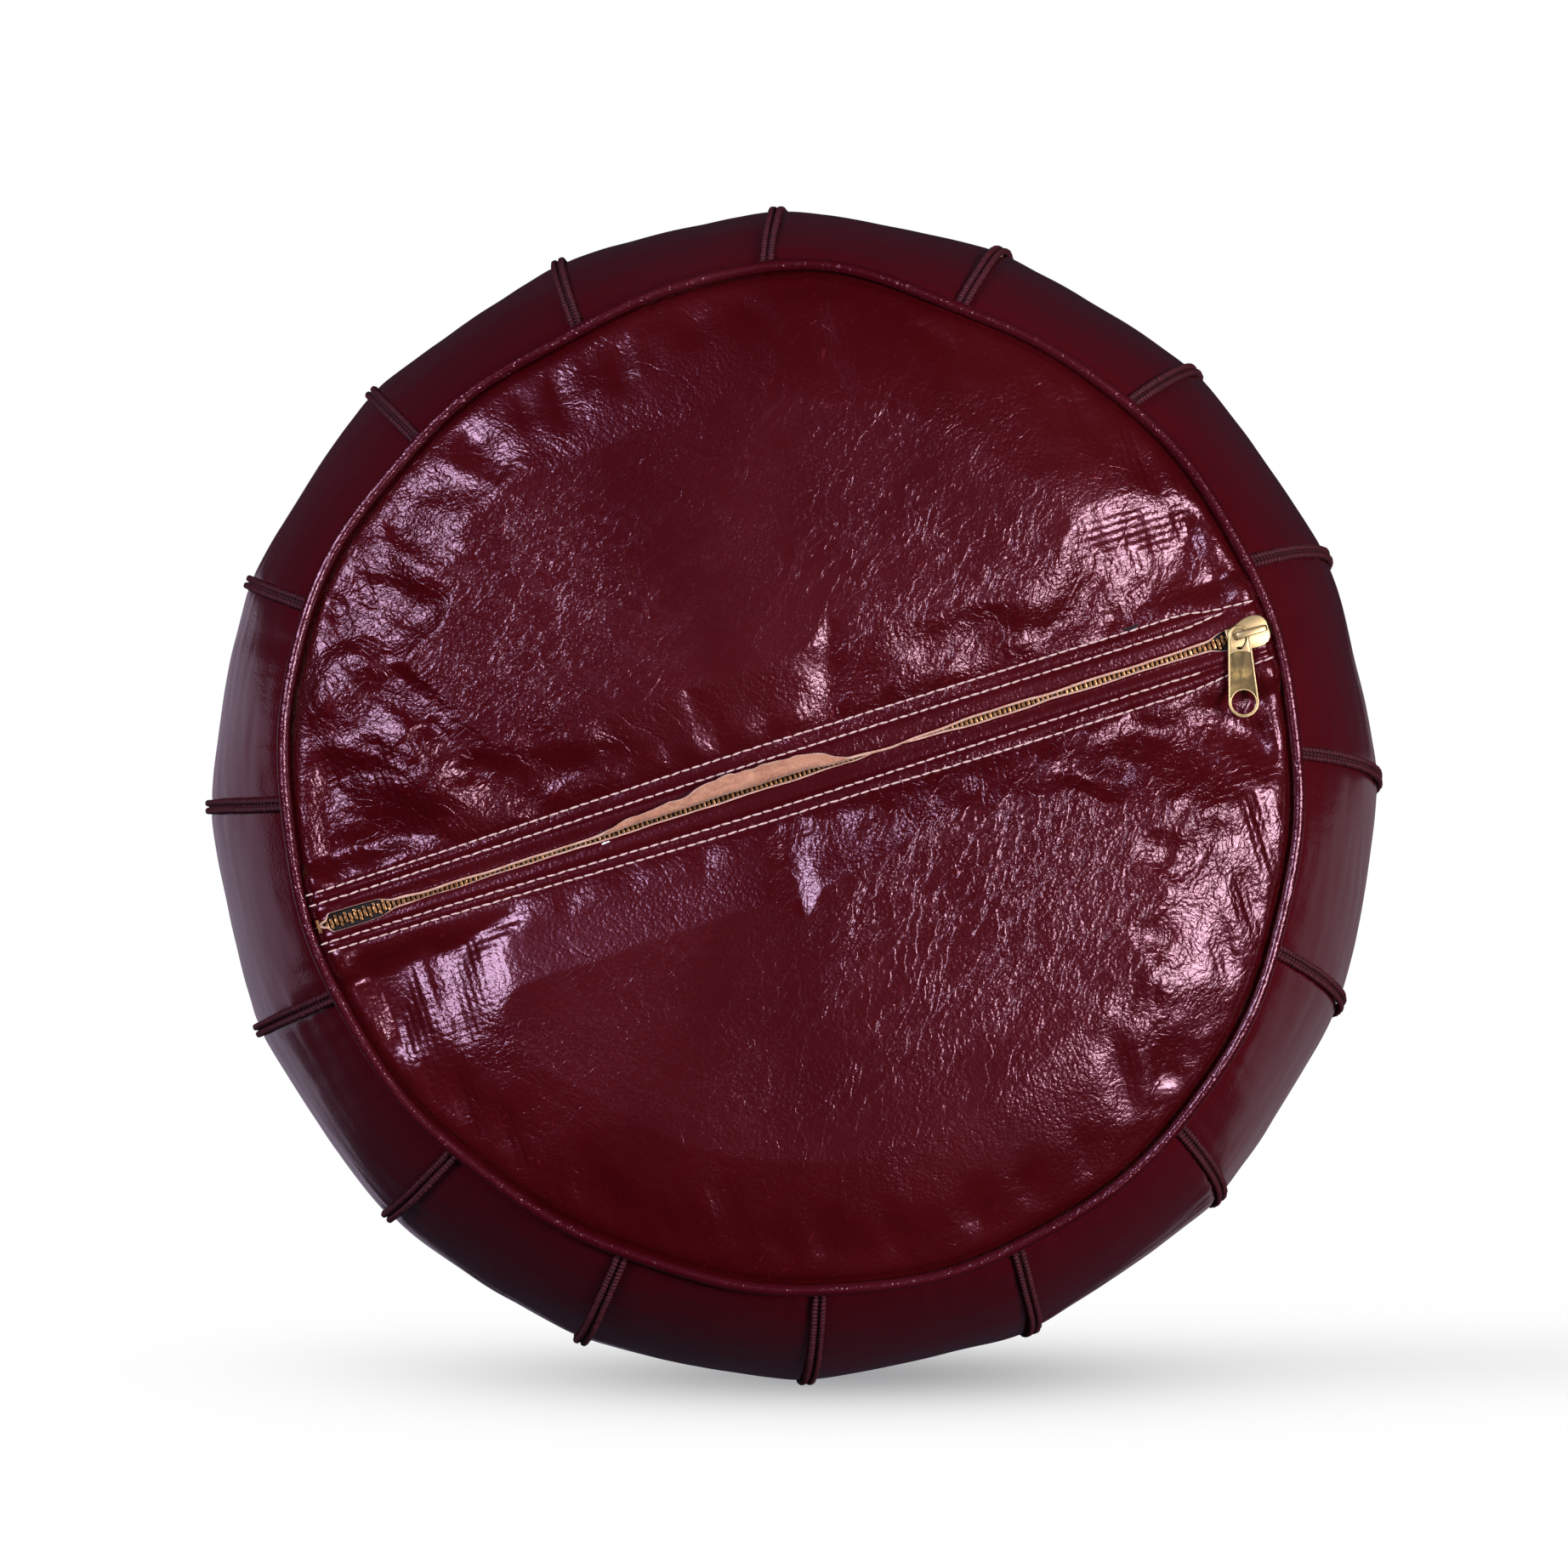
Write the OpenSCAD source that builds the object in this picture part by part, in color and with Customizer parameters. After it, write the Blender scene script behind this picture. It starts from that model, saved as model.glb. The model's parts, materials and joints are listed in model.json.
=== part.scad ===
// Round leather pouf: sixteen side panels, a wedge-cut top and a zipped bottom, over a stuffed bag.
// Millimetres. +Z is up, and the origin is at the centre of the base, on the floor.
// The zip runs along X across the base and is closed at the +X end.

/* [Pouf] */
// Widest diameter, at mid height
body_d = 500; // [470:5:530]
// Height at the middle of the top
body_h = 300; // [285:5:330]
// Radius of the seams at the bottom and top edges
seam_r = 205; // [195:1:208]
// Number of side panels, and of wedges in the top
panel_count = 16; // [12:1:16]
// Angle of the first seam from the zip
first_seam = -6; // [-15:0.5:15]
// Thickness of the leather
leather = 1.5; // [1:0.1:2]

/* [Base] */
// Height of the bottom seam over the floor
bottom_rise = 13; // [10:1:16]
// Radius of the flat part that stands on the floor
flat_r = 120; // [110:1:150]
// Radius of the piping round the bottom
piping_r = 2.4; // [1.5:0.1:3]
// Depth of the shallow valley that keeps the zip off the floor
valley_h = 7.5; // [7.5:0.1:9]
// Half width of the valley's flat middle
valley_flat = 19; // [18:1:24]
// Half width of the valley where it meets the floor
valley_w = 65; // [60:1:80]

/* [Zip] */
// Half width of the slot between the two raw leather edges
slot_half = 4; // [4:0.1:5]
// Pitch of the teeth on each tape
tooth_pitch = 4; // [3.6:0.1:5]
// Length of the slider
slider_len = 17; // [15:0.5:19]
// Width of the slider at its shoulders
slider_w = 13.5; // [12.5:0.5:14.5]
// Distance of the closed slider from the middle of the base
slider_x = 193; // [182:1:193]
// Length of the pull from the middle of its eye to its foot
pull_len = 33; // [28:1:35]
// Width of the pull at its foot
pull_w = 12.4; // [11:0.1:13]
// Angle of the hanging pull from the +Y direction
pull_lean = 13.7; // [0:0.1:20]

/* [Trim] */
// Width of the silk braids
braid_w = 6.6; // [5:0.1:8]
// Height that the braids stand over the leather
braid_t = 2.2; // [1.5:0.1:3]
// Radius of the patch in the middle of the top
patch_r = 26; // [22:1:34]

/* [Hidden] */
$fn = 64;
function numbered(name, n) = [for (i = [1:n]) str(name, i < 10 ? "_0" : "_", i)];

burgundy = [0.30, 0.05, 0.10];
dark_silk = [0.24, 0.02, 0.08];
black_tape = [0.05, 0.04, 0.04];
old_brass = [0.55, 0.43, 0.20];
cream = [0.93, 0.87, 0.80];
white_cotton = [0.92, 0.91, 0.88];

big = 400;
skin_gap = 0.2;                     // between layers that lie on each other
run_gap = 0.3;                      // between the slider and what it runs past
edge_gap = 0.15;                    // between pieces that meet at a seam
panel_angle = 360 / panel_count;
cut_angle = 0.06;                   // slit between neighbouring panels
bag_t = 0.8;

// The side is an arc of a circle that passes through both edge seams
top_rise = 30;
top_seam_z = body_h - top_rise;
mid_z = (bottom_rise + top_seam_z) / 2;
half_z = (top_seam_z - bottom_rise) / 2;
bulge = body_d / 2 - seam_r;
side_arc = (half_z * half_z + bulge * bulge) / (2 * bulge);
side_cx = body_d / 2 - side_arc;
// The top is a shallow dome, and the edge of the base curves up to the piping
dome_arc = (seam_r * seam_r + top_rise * top_rise) / (2 * top_rise);
dish_run = seam_r - flat_r;
dish_arc = (dish_run * dish_run + bottom_rise * bottom_rise) / (2 * bottom_rise);
piping_x = seam_r + 0.4;
piping_z = bottom_rise - 0.8;
top_braid_r = 3;
wedge_r0 = 20;                      // inner end of the wedges, under the patch

// Levels through the zip, from the floor up
band_r = seam_r - piping_r - 1;
tape_z = valley_h + leather + 0.1;
tape_t = 0.8;
tape_half = 17.5;
chain_mid = tape_z + tape_t / 2;
tooth_t = 3;
tooth_z = chain_mid - tooth_t / 2;
tooth_len = 1.7;
tooth_in = 0.6;                     // from the centre line to the tip of a tooth
tooth_out = 2.7;
tape_in = 1.5;                      // the tape's edge, held in the slot of the teeth
plate_t = 1.6;
plate_z = valley_h - run_gap - plate_t;
inner_plate_z = tooth_z + tooth_t + run_gap;
inner_plate_t = 1.4;
bag_roof = inner_plate_z + inner_plate_t + run_gap;
flange_in = tooth_out + run_gap;
flange_out = slot_half - run_gap;
chain_x0 = -198;
chain_x1 = 197;
stop_len = 2.5;
// Where the rising edge of the base reaches the height of the valley, the tapes narrow to the slot
valley_r = flat_r + sqrt(dish_arc * dish_arc - pow(dish_arc - valley_h, 2));
tape_end_r = valley_r - 0.3;
mouth_x = 181;                      // and the raw edges open round the slider
mouth_half = slider_w / 2 - 0.8 + run_gap + 0.1;
stitch_rows = [9.9, 15.3];          // distance of the two rows of stitches from the centre line
stitch_r = 0.4;
stitch_half = 184;

// Bail and pull, under the slider's outer plate
strap_w = 3;
strap_t = 1.2;
pull_t = 1.3;
pull_gap = 0.25;
pull_z = plate_z - pull_gap - pull_t;
strap_z = pull_z - pull_gap - strap_t;
bail_x0 = -5.5;                     // ends of the bail, from the middle of the slider
bail_x1 = 8;
post_len = 1.2;
eye_x = bail_x0 + 1.5;              // middle of the pull's eye, round the rear post
eye_hole_r = 3.2;
eye_rim_r = 4.6;
foot_hole_r = 5;

// Solid of the stuffed shape, d inside the outer face of the leather. The layers inside the
// leather keep clear of the braid round the top edge.
module profile(d) {
    difference() {
        plain_profile(d);
        if (d > leather)
            translate([piping_x, top_seam_z + 0.8])
                circle(r = top_braid_r + edge_gap + d - leather, $fn = 48);
    }
}

module plain_profile(d) {
    intersection() {
        translate([0, d]) square([big, body_h]);
        translate([side_cx, mid_z]) circle(r = side_arc - d, $fn = 180);
        translate([0, body_h - dome_arc]) circle(r = dome_arc - d, $fn = 360);
        union() {
            square([flat_r, big]);
            translate([flat_r, dish_arc]) circle(r = dish_arc - d, $fn = 180);
        }
    }
}

// Section of the valley over the zip: flat in the middle, and an S curve down to the floor
function valley_curve(y, h) =
    h * (1 + cos(180 * (y - valley_flat) / (valley_w - valley_flat))) / 2;
function valley_side(h, d, steps = 14) =
    [for (i = [0:steps])
        let (y = valley_flat + (valley_w - valley_flat) * i / steps) [y, valley_curve(y, h) + d]];
function mirrored(points) = [for (i = [len(points) - 1:-1:0]) [-points[i][0], points[i][1]]];

module valley(h, d) {
    side = valley_side(h, d);
    outline = concat([[-valley_w - 1, -5]], mirrored(side), side, [[valley_w + 1, -5]]);
    rotate([90, 0, 90])
        translate([0, 0, -big])
            linear_extrude(2 * big) polygon(outline);
}

module stuffed(d, roof) {
    difference() {
        rotate_extrude($fn = 180) profile(d);
        valley(roof, d);
    }
}

// Shell sector between two seams, from a half profile
module sector(i, share = panel_angle - cut_angle) {
    rotate([0, 0, first_seam + (i - 1) * panel_angle + cut_angle / 2])
        rotate_extrude(angle = share, $fn = 180) children();
}

module side_strip(inner, outer) {
    difference() {
        intersection() {
            translate([0, bottom_rise]) square([big, top_seam_z - bottom_rise]);
            difference() {
                translate([side_cx, mid_z]) circle(r = side_arc + outer, $fn = 180);
                translate([side_cx, mid_z]) circle(r = side_arc + inner, $fn = 180);
            }
        }
        translate([piping_x, piping_z]) circle(r = piping_r + edge_gap, $fn = 32);
        translate([piping_x, top_seam_z + 0.8]) circle(r = top_braid_r + edge_gap, $fn = 32);
    }
}

module dome_strip(inner, outer, r0, r1) {
    intersection() {
        translate([r0, 0]) square([r1 - r0, body_h + 10]);
        difference() {
            translate([0, body_h - dome_arc]) circle(r = dome_arc + outer, $fn = 360);
            translate([0, body_h - dome_arc]) circle(r = dome_arc + inner, $fn = 360);
        }
    }
}

module side_panel(i) {
    color(burgundy) sector(i) side_strip(-leather, 0);
}

module top_wedge(i) {
    color(burgundy) sector(i) dome_strip(-leather, 0, wedge_r0, seam_r - 3.2);
}

// Sixteen braids, each laid over the seam between two side panels
module side_seam_braids() {
    share = braid_w / body_d * 2 * 180 / PI;
    color(dark_silk)
        for (i = [1:panel_count])
            rotate([0, 0, -share / 2]) sector(i, share) side_strip(0.1, braid_t);
}

// Sixteen straight braids, each laid over the seam between two wedges
module top_seam_braids() {
    color(dark_silk)
        intersection() {
            rotate_extrude($fn = 180) dome_strip(0.1, braid_t, patch_r + 1, seam_r - 3.4);
            for (i = [1:panel_count])
                rotate([0, 0, first_seam + i * panel_angle])
                    translate([patch_r + 1, -braid_w / 2, 0])
                        cube([seam_r, braid_w, body_h + 10]);
        }
}

module top_edge_braid() {
    color(dark_silk)
        rotate_extrude($fn = 180)
            translate([piping_x, top_seam_z + 0.8]) circle(r = top_braid_r, $fn = 32);
}

module top_patch() {
    color(burgundy) rotate_extrude($fn = 180) dome_strip(0.1, 1.6, 0, patch_r);
}

module bottom_piping() {
    color(burgundy)
        rotate_extrude($fn = 180) translate([piping_x, piping_z]) circle(r = piping_r, $fn = 32);
}

// One half of the base, from the raw edge at the zip (side is -1 at the front, 1 at the back)
module bottom_panel(side) {
    color(burgundy)
        intersection() {
            difference() {
                stuffed(0, valley_h);
                stuffed(leather, valley_h);
            }
            difference() {
                translate([0, 0, -1]) cylinder(r = band_r, h = bottom_rise + 4, $fn = 180);
                translate([-big, -slot_half, -2]) cube([2 * big, 2 * slot_half, 30]);
                for (end = [-1, 1])
                    translate([end > 0 ? mouth_x : -big, -mouth_half, -2])
                        cube([big - mouth_x, 2 * mouth_half, 30]);
                translate([-big, side > 0 ? -big : 0, -2]) cube([2 * big, big, 30]);
            }
        }
}

module zip_tape(side) {
    narrow = slot_half - 0.2;
    color(black_tape)
        union() {
            intersection() {
                translate([-big, side > 0 ? tape_in : -tape_half, tape_z])
                    cube([2 * big, tape_half - tape_in, tape_t]);
                cylinder(r = tape_end_r, h = 30, $fn = 180);
            }
            intersection() {
                translate([-big, side > 0 ? tape_in : -narrow, tape_z])
                    cube([2 * big, narrow - tape_in, tape_t]);
                cylinder(r = band_r - 1, h = 30, $fn = 180);
            }
        }
}

// Brass teeth, each one a clamp round the edge of the tape; the back row sits half a pitch on
module zip_teeth(side) {
    start = chain_x0 + (side > 0 ? tooth_pitch / 2 : 0);
    count = floor((chain_x1 - tooth_len - start) / tooth_pitch) + 1;
    jaw = tape_t / 2 + 0.05;
    half = tooth_t / 2;
    outline = [[tooth_in, -half], [tooth_out, -half], [tooth_out, -jaw], [tape_in - 0.1, -jaw],
               [tape_in - 0.1, jaw], [tooth_out, jaw], [tooth_out, half], [tooth_in, half]];
    color(old_brass)
        for (i = [0:count - 1])
            translate([start + i * tooth_pitch, 0, chain_mid])
                rotate([90, 0, 90])
                    linear_extrude(tooth_len)
                        polygon([for (p = outline) [side * p[0], p[1]]]);
}

// A stop on the edge of each tape, past the last tooth at the closed end
module zip_top_stops() {
    color(old_brass)
        for (side = [-1, 1])
            translate([chain_x1 + 1, side > 0 ? tooth_in : -tooth_out, tooth_z])
                difference() {
                    cube([stop_len, tooth_out - tooth_in, tooth_t]);
                    translate([-1, side > 0 ? tape_in - tooth_in - 0.1 : -1,
                               tape_z - tooth_z - 0.05])
                        cube([stop_len + 2, tooth_out - tape_in + 1.1, tape_t + 0.1]);
                }
}

// One stop across both tapes at the open end
module zip_bottom_stop() {
    jaw = tape_t / 2 + 0.05;
    color(old_brass)
        translate([chain_x0 - stop_len - 0.6, 0, chain_mid])
            difference() {
                translate([0, -tooth_out, -tooth_t / 2])
                    cube([stop_len, 2 * tooth_out, tooth_t]);
                for (side = [-1, 1])
                    translate([-1, side > 0 ? tape_in - 0.1 : -tooth_out - 1, -jaw])
                        cube([stop_len + 2, tooth_out - tape_in + 1.1, 2 * jaw]);
            }
}

// Four rows of thread, two on each side of the zip
module zip_stitching() {
    color(cream)
        for (side = [-1, 1])
            for (row = stitch_rows)
                translate([-stitch_half, side * row, valley_h - stitch_r - 0.05])
                    rotate([0, 90, 0]) cylinder(r = stitch_r, h = 2 * stitch_half, $fn = 16);
}

// Outline of the slider's plates: narrow at the rear, with wide shoulders at the front
module slider_outline(inset) {
    half = slider_len / 2;
    wide = slider_w / 2 - inset;
    slim = slider_w / 2 - 2.2 - inset;
    polygon([[-half, -slim], [-half + 4, -slim], [1, -wide], [half - 2.5, -wide],
             [half, -wide + 2], [half, wide - 2], [half - 2.5, wide], [1, wide],
             [-half + 4, slim], [-half, slim]]);
}

module slider_body() {
    half = slider_len / 2;
    color(old_brass)
        translate([slider_x, 0, 0]) {
            translate([0, 0, plate_z]) linear_extrude(plate_t) slider_outline(0);
            translate([0, 0, inner_plate_z]) linear_extrude(inner_plate_t) slider_outline(0.8);
            for (side = [-1, 1]) {
                y0 = side > 0 ? flange_in : -flange_out;
                translate([-half + 0.5, y0, plate_z + plate_t])
                    cube([slider_len - 1, flange_out - flange_in,
                          tape_z - run_gap - plate_z - plate_t]);
                translate([-half + 0.5, y0, tape_z + tape_t + run_gap])
                    cube([slider_len - 1, flange_out - flange_in,
                          inner_plate_z - tape_z - tape_t - run_gap]);
            }
            translate([half - 5, -0.3, plate_z + plate_t])
                cube([4, 0.6, inner_plate_z - plate_z - plate_t]);
        }
}

// The arch that the pull hangs on
module slider_bail() {
    color(old_brass)
        translate([slider_x, -strap_w / 2, 0]) {
            translate([bail_x0, 0, strap_z]) cube([bail_x1 - bail_x0, strap_w, strap_t]);
            for (x = [bail_x0, bail_x1 - post_len])
                translate([x, 0, strap_z]) cube([post_len, strap_w, plate_z - strap_z]);
        }
}

// The pull: a tapered tab with an eye round the bail's rear post and a round hole at its foot
module zip_pull() {
    foot_r = pull_w / 2;
    foot_y = pull_len - foot_r;
    color(old_brass)
        translate([slider_x + eye_x, 0, pull_z])
            rotate([0, 0, pull_lean])
                linear_extrude(pull_t)
                    difference() {
                        union() {
                            circle(r = eye_rim_r);
                            translate([0, foot_y]) circle(r = foot_r);
                            polygon([[-eye_rim_r, 0], [eye_rim_r, 0],
                                     [foot_r, foot_y], [-foot_r, foot_y]]);
                        }
                        circle(r = eye_hole_r);
                        translate([0, foot_y]) circle(r = foot_hole_r);
                    }
}

module inner_bag() {
    skin = leather + skin_gap;
    roof = bag_roof - skin;
    color(white_cotton)
        difference() {
            stuffed(skin, roof);
            stuffed(skin + bag_t, roof);
        }
}

module stuffing() {
    skin = leather + skin_gap;
    color(cream) stuffed(skin + bag_t + skin_gap, bag_roof - skin);
}

for (i = [1:panel_count]) {
    side_panel(i);
    top_wedge(i);
}
side_seam_braids();
top_seam_braids();
top_edge_braid();
top_patch();
bottom_piping();
bottom_panel(-1);  // bottom_panel_front
bottom_panel(1);  // bottom_panel_back
zip_tape(-1);  // zip_tape_front
zip_tape(1);  // zip_tape_back
zip_teeth(-1);  // zip_teeth_front
zip_teeth(1);  // zip_teeth_back
zip_top_stops();
zip_bottom_stop();
zip_stitching();
slider_body();
slider_bail();
zip_pull();
inner_bag();
stuffing();
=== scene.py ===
"""Looks for the stuffed leather pouf: hide, piping, silk braid, stitching, zip and brass.

The CAD frame stays where it is. Every soft or fine piece is built here around it, in metres and
in the frame's own axes: +Z up, +X along the zip towards its closed end, -Y to the front. The
base faces -Z, so the maker's view of the zip is taken from below.
"""

import json
import logging
import math
from dataclasses import dataclass, field
from enum import Enum
from typing import Callable, Dict, List, Optional, Sequence, Tuple

import bmesh
import bpy
import numpy as np
from mathutils import Matrix, Vector

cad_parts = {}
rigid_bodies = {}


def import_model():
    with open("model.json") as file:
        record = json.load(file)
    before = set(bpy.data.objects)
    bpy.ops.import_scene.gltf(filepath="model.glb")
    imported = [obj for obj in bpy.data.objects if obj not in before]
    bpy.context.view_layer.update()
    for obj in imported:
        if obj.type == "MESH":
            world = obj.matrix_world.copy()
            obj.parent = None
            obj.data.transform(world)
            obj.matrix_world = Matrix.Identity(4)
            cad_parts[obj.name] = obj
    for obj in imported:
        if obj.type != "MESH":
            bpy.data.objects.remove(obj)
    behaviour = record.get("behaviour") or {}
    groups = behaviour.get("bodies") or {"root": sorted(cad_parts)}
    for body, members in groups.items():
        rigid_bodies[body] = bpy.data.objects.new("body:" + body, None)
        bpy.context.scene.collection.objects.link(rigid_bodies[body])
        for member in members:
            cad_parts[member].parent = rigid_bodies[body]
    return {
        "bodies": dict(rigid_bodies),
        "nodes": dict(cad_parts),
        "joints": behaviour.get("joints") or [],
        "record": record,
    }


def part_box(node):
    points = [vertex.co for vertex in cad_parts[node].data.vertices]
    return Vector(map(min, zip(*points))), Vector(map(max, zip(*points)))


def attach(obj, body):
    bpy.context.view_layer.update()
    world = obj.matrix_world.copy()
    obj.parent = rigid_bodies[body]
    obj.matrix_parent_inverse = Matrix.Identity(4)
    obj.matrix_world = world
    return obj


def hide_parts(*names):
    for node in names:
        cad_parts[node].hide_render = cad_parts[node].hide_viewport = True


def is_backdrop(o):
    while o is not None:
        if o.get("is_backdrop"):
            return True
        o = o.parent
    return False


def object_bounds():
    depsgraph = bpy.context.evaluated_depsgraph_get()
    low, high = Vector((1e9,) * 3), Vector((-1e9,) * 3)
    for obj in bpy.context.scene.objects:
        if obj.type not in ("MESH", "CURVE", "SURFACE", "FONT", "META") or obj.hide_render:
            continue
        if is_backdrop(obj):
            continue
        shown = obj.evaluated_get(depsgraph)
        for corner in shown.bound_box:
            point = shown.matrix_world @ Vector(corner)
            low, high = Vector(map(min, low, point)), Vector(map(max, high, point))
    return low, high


log = logging.getLogger("pouf")

MM = 0.001
PANELS = 16
FIRST_SEAM = math.radians(-6.0)
PITCH = 2.0 * math.pi / PANELS
TWIST = math.radians(1.9)
LEATHER = 1.5 * MM
VIEW_RIGHT = np.array([0.954, 0.301, 0.0])
VIEW_UP = np.array([0.301, -0.954, 0.0])
VIEW_TURN = 17.5


class Half(Enum):
    """The two halves of the base, by the sign of Y."""

    FRONT = -1
    BACK = 1


# ---------------------------------------------------------------- finishes


@dataclass(frozen=True)
class HideFinish:
    """Glazed hide: colours, gloss and the depth of its creases and pebble grain."""

    name: str
    slot: str
    deep: Tuple[float, float, float]
    # the lighter colour of the tone patches and of the bright ticks, which are painted glints as well as wear
    worn: Tuple[float, float, float]
    roughness: float = 0.25
    coat: float = 0.45
    grain: float = 0.00013
    crease: float = 0.00030


@dataclass(frozen=True)
class ClothFinish:
    """Thread, tape, cotton, suede or wadding."""

    name: str
    slot: str
    color: Tuple[float, float, float]
    second: Tuple[float, float, float]
    roughness: float = 0.8
    sheen: float = 0.2
    scale: float = 900.0
    depth: float = 0.0002


@dataclass(frozen=True)
class BrassFinish:
    """Brass under a brown patina."""

    name: str
    slot: str
    bright: Tuple[float, float, float]
    patina: Tuple[float, float, float]
    roughness: float = 0.3
    amount: float = 0.5
    scale: float = 260.0


BASE_HIDE = HideFinish("base_hide", "base_leather", (0.049, 0.0014, 0.0028), (0.150, 0.012, 0.014))
SIDE_HIDE = HideFinish("side_hide", "side_leather", (0.088, 0.0034, 0.0080), (0.150, 0.012, 0.020),
                       roughness=0.24, grain=0.00006, crease=0.00012)
TOP_HIDE = HideFinish("top_hide", "top_leather", (0.088, 0.0036, 0.0080), (0.150, 0.014, 0.020),
                      roughness=0.26, grain=0.00007, crease=0.00022)
PIPING_HIDE = HideFinish("piping_hide", "base_leather", (0.050, 0.0022, 0.0052), (0.160, 0.022, 0.026),
                         roughness=0.26, grain=0.00010, crease=0.00040)
SUEDE = ClothFinish("suede", "base_leather", (0.62, 0.33, 0.20), (0.42, 0.19, 0.11), 0.95, 0.5, 700.0, 0.0004)
CUT_EDGE = ClothFinish("cut_edge", "base_leather", (0.80, 0.55, 0.42), (0.56, 0.32, 0.22), 0.85, 0.3, 900.0,
                       0.0002)
SILK = ClothFinish("silk", "silk_braid", (0.095, 0.0028, 0.013), (0.035, 0.0012, 0.005), 0.64, 0.02, 1500.0,
                   0.00015)
THREAD = ClothFinish("thread", "cream_thread", (0.92, 0.76, 0.70), (0.70, 0.48, 0.43), 0.6, 0.2, 2200.0,
                     0.0001)
TAPE = ClothFinish("tape", "zip_tape", (0.012, 0.009, 0.009), (0.004, 0.003, 0.003), 0.9, 0.1, 1300.0, 0.0002)
COTTON = ClothFinish("cotton", "white_cotton", (0.80, 0.78, 0.74), (0.66, 0.64, 0.60), 0.9, 0.2, 900.0,
                     0.0002)
WADDING = ClothFinish("wadding", "wadding", (0.86, 0.86, 0.86), (0.66, 0.66, 0.70), 1.0, 0.4, 500.0, 0.0006)
TEETH_BRASS = BrassFinish("teeth_brass", "zip_brass", (0.62, 0.34, 0.14), (0.10, 0.050, 0.022), 0.32, 0.50,
                          420.0)
SLIDER_BRASS = BrassFinish("slider_brass", "slider_brass", (0.74, 0.54, 0.17), (0.22, 0.155, 0.04), 0.25,
                           0.50, 220.0)
FACE_BRASS = BrassFinish("face_brass", "slider_brass", (0.38, 0.285, 0.10), (0.12, 0.095, 0.05), 0.36, 0.60,
                         180.0)


# ---------------------------------------------------------------- shader groups


def new_group(name: str, inputs: Sequence[Tuple[str, str, object]],
              outputs: Sequence[Tuple[str, str]]) -> Tuple[bpy.types.NodeTree, bpy.types.Node,
                                                           bpy.types.Node]:
    """Makes a shader group with named sockets.

    Args:
        name: the group's name.
        inputs: (name, socket type, default) of each input.
        outputs: (name, socket type) of each output.
    Returns:
        The tree, its input node and its output node.
    """
    tree = bpy.data.node_groups.new(name, "ShaderNodeTree")
    for label, kind, value in inputs:
        item = tree.interface.new_socket(label, in_out="INPUT", socket_type=kind)
        if value is not None:
            item.default_value = value
    for label, kind in outputs:
        tree.interface.new_socket(label, in_out="OUTPUT", socket_type=kind)
    return tree, tree.nodes.new("NodeGroupInput"), tree.nodes.new("NodeGroupOutput")


class Wiring:
    """Short calls that add and join nodes in one tree."""

    def __init__(self, tree: bpy.types.NodeTree) -> None:
        """Keeps the tree that the calls work on."""
        self.tree = tree

    def node(self, kind: str, settings: Optional[Dict[str, object]] = None,
             **inputs: object) -> bpy.types.Node:
        """Adds a node, sets its properties and links or sets its inputs by name."""
        made = self.tree.nodes.new(kind)
        for key, value in (settings or {}).items():
            setattr(made, key, value)
        for key, value in inputs.items():
            self.put(made.inputs[key.replace("_", " ")], value)
        return made

    def put(self, socket: bpy.types.NodeSocket, value: object) -> None:
        """Links an output to a socket, or sets its value."""
        if isinstance(value, bpy.types.NodeSocket):
            self.tree.links.new(value, socket)
        else:
            socket.default_value = value

    def math(self, operation: str, a: object, b: object = 0.0, c: object = 0.0,
             clamp: bool = False) -> bpy.types.NodeSocket:
        """Adds a Math node and returns its output."""
        made = self.tree.nodes.new("ShaderNodeMath")
        made.operation, made.use_clamp = operation, clamp
        for socket, value in zip(made.inputs, (a, b, c)):
            self.put(socket, value)
        return made.outputs[0]

    def vmath(self, operation: str, a: object, b: object) -> bpy.types.NodeSocket:
        """Adds a Vector Math node and returns its vector output."""
        made = self.tree.nodes.new("ShaderNodeVectorMath")
        made.operation = operation
        self.put(made.inputs[0], a)
        self.put(made.inputs[1], b)
        return made.outputs[0]

    def noise(self, vector: object, scale: object, detail: float = 3.0,
              rough: float = 0.55) -> bpy.types.NodeSocket:
        """Adds a Noise texture and returns its factor."""
        made = self.node("ShaderNodeTexNoise", Vector=vector, Scale=scale, Detail=detail, Roughness=rough)
        return made.outputs[0]

    def ramp(self, value: object, low: object, high: object) -> bpy.types.NodeSocket:
        """A smooth step of value from low to high."""
        made = self.tree.nodes.new("ShaderNodeMapRange")
        made.interpolation_type = "SMOOTHSTEP"
        self.put(made.inputs["Value"], value)
        self.put(made.inputs["From Min"], low)
        self.put(made.inputs["From Max"], high)
        return made.outputs[0]

    def mix(self, factor: object, a: object, b: object) -> bpy.types.NodeSocket:
        """Mixes two colours."""
        made = self.tree.nodes.new("ShaderNodeMix")
        made.data_type = "RGBA"
        self.put(made.inputs[0], factor)
        self.put(made.inputs[6], a)
        self.put(made.inputs[7], b)
        return made.outputs[2]


def rgba(color: Sequence[float]) -> Tuple[float, float, float, float]:
    """A colour with full alpha."""
    return (color[0], color[1], color[2], 1.0)


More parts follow.
